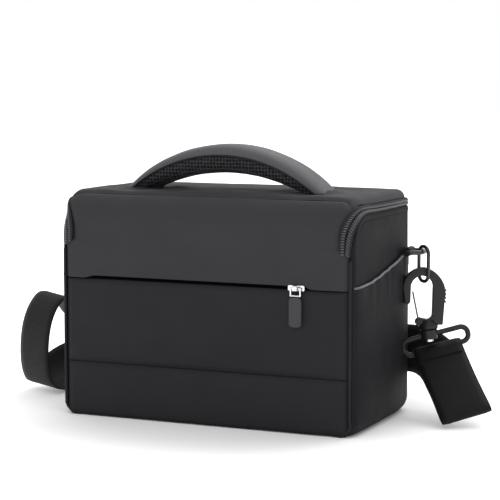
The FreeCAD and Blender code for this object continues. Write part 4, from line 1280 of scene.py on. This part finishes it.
# the right half of the shell's mouth, from its front corner to its rear one, in millimetres
MOUTH = [(111, -58, 136), (114.6, -54, 139), (115, -48, 150), (115, -38, 159), (115, -20, 161.5),
         (115, 30, 161.5), (115, 55, 161.5), (111, 58.8, 161.5)]
MOUTH_FRONT, MOUTH_REAR = (0, -59, 136.2), (0, 59, 161.5)


def lining_rim():
    """The padded rim between the outer cloth and the lining, following the mouth."""
    left = [(-x, y, z) for x, y, z in MOUTH]
    corners = [mm(*spot) for spot in left[:1] + [MOUTH_FRONT] + MOUTH + [MOUTH_REAR] + left[:0:-1]]
    line = []
    for spot, after in zip(corners, corners[1:] + corners[:1]):
        count = max(2, int((after - spot).length / (4 * MM)))
        line += [spot.lerp(after, step / count) for step in range(count)]
    outer, inner, drop, rows = 4.4 * MM, -4.6 * MM, 1.2 * MM, 8
    verts = []
    for spot in line:
        flat = Vector((spot.x, spot.y + 6 * MM, 0)).normalized()
        for share in (row / rows for row in range(rows + 1)):
            lift = Vector((0, 0, (1.6 * math.sin(math.pi * share)) * MM - drop * share))
            verts.append(spot + flat * (outer + (inner - outer) * share) + lift)
    return thickened(mesh_object("rim", verts, grid_faces(len(line), rows + 1, loop=True), M_LINING), LINER)


finish_piece(joined("lining_cloth", walls + [lining_rim()]), "bag", ("lining",))


def divider(label, sign):
    """A padded board whose section swells between its bound edges, with a welt along its top."""
    low, high = box_of(f"{label}_divider")
    middle = (low + high) / 2
    half = (high - low) / 2
    verts = []
    ring, rows = 72, 40
    for v in (row / rows for row in range(rows + 1)):
        z = low.z + 1.5 * MM + (high.z - low.z - 2.0 * MM) * v
        swell = 0.82 + 0.18 * math.sin(math.pi * v) ** 0.4
        for turn in (2 * math.pi * (step / ring) for step in range(ring)):
            c, s = math.cos(turn), math.sin(turn)
            x = math.copysign(abs(c) ** 0.5, c) * half.x * swell + 0.3 * MM * crease((c, s, z), 20, 120 + sign)
            verts.append(Vector((middle.x + x, math.copysign(abs(s) ** 0.16, s) * (half.y - 1.7 * MM), z)))
    pad = mesh_object(f"{label}_divider_cloth", verts, grid_faces(rows + 1, ring, ring=True), M_DIVIDER)
    stuffed(pad, 4, 1.1 * MM)
    top_edge = [Vector((middle.x, y * MM, high.z - 0.4 * MM)) for y in range(-50, 51, 4)]
    pad = joined(f"{label}_divider_pad_cloth", [pad, tube("welt", top_edge, 1.5 * MM, M_PIPE, sides=8)])
    finish_piece(pad, f"{label}_divider_pad", (f"{label}_divider",))


divider("left", -1)
divider("right", 1)

# the lid's lining is a padded tray; its net pocket hangs from an elastic binding
LID_LOW, LID_HIGH = box_of("lid_lining")


def lid_lining_point(u, v):
    x = (LID_HIGH.x - 1 * MM) * (2 * u - 1)
    y = LID_LOW.y + 2 * MM + (LID_HIGH.y - LID_LOW.y - 3 * MM) * v
    z = LID_HIGH.z - 0.7 * MM
    if y < -38 * MM:
        z -= 27 * MM * fall(1, min(1.0, (-38 * MM - y) / (16 * MM)))
    return Vector((x, y, z - 1.1 * MM * crowned(u, v, 4, 4) - 0.4 * MM * crease((x, y, 4), 18, 131)))


LID_LINING = patch("lid_lining_cloth", lambda u, v: lid_lining_point(1 - u, v), 120, 70, LINER, M_LINING)
finish_piece(LID_LINING, "lid", ("lid_lining",))


def lid_rim():
    """The padded rim that joins the lid's lining to its outer cloth, all round and along the hinge."""
    path = [a.lerp(b, 0.44) for a, b in zip(ZIP_O, ZIP_I)][::4]
    start, last = path[0], path[-1]
    path += [last.lerp(start, step / 60) for step in range(1, 60)]
    reach = LID_HIGH.x - 1.2 * MM
    verts, rows = [], 6
    for spot in path:
        x = max(-reach, min(reach, spot.x))
        v = (spot.y - LID_LOW.y - 2 * MM) / (LID_HIGH.y - LID_LOW.y - 3 * MM)
        inner = lid_lining_point((x / (LID_HIGH.x - 1 * MM) + 1) / 2, max(0.0, min(1.0, v)))
        outer = spot + (Vector((0, -6 * MM, spot.z)) - spot).normalized() * 0.2 * MM
        for share in (row / rows for row in range(rows + 1)):
            verts.append(outer.lerp(inner, share) + Vector((0, 0, -1.2 * MM * math.sin(math.pi * share))))
    rim = mesh_object("lid_rim_cloth", verts, grid_faces(len(path), rows + 1, loop=True), M_LINING)
    return thickened(rim, LINER)


finish_piece(lid_rim(), "lid")

NET_LOW, NET_HIGH = box_of("lid_mesh_pocket")


def net_point(u, v):
    x = NET_LOW.x + (NET_HIGH.x - NET_LOW.x) * (1 - u)
    y = NET_LOW.y + (NET_HIGH.y - NET_LOW.y) * v
    crown = math.sin(math.pi * u) ** 0.6 * (0.15 + 0.85 * math.sin(math.pi * v * 0.72) ** 0.8)
    return Vector((x, y, NET_LOW.z - 0.4 * MM - 1.6 * MM * crown - 0.3 * MM * crease((x, y, 6), 22, 141)))


net = patch("net", net_point, 90, 50, 0.5 * MM, M_NET)
edges = [[net_point(s / 60, v) for s in range(61)] for v in (1, 0)]
edges += [[net_point(u, s / 40) for s in range(41)] for u in (0, 1)]
binds = [tube("bind", points, 1.1 * MM, M_PIPE, sides=8) for points in edges]
finish_piece(joined("lid_net_pocket", [net] + binds), "lid", ("lid_mesh_pocket",))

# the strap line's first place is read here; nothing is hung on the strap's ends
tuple(STRAP_LINE[0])
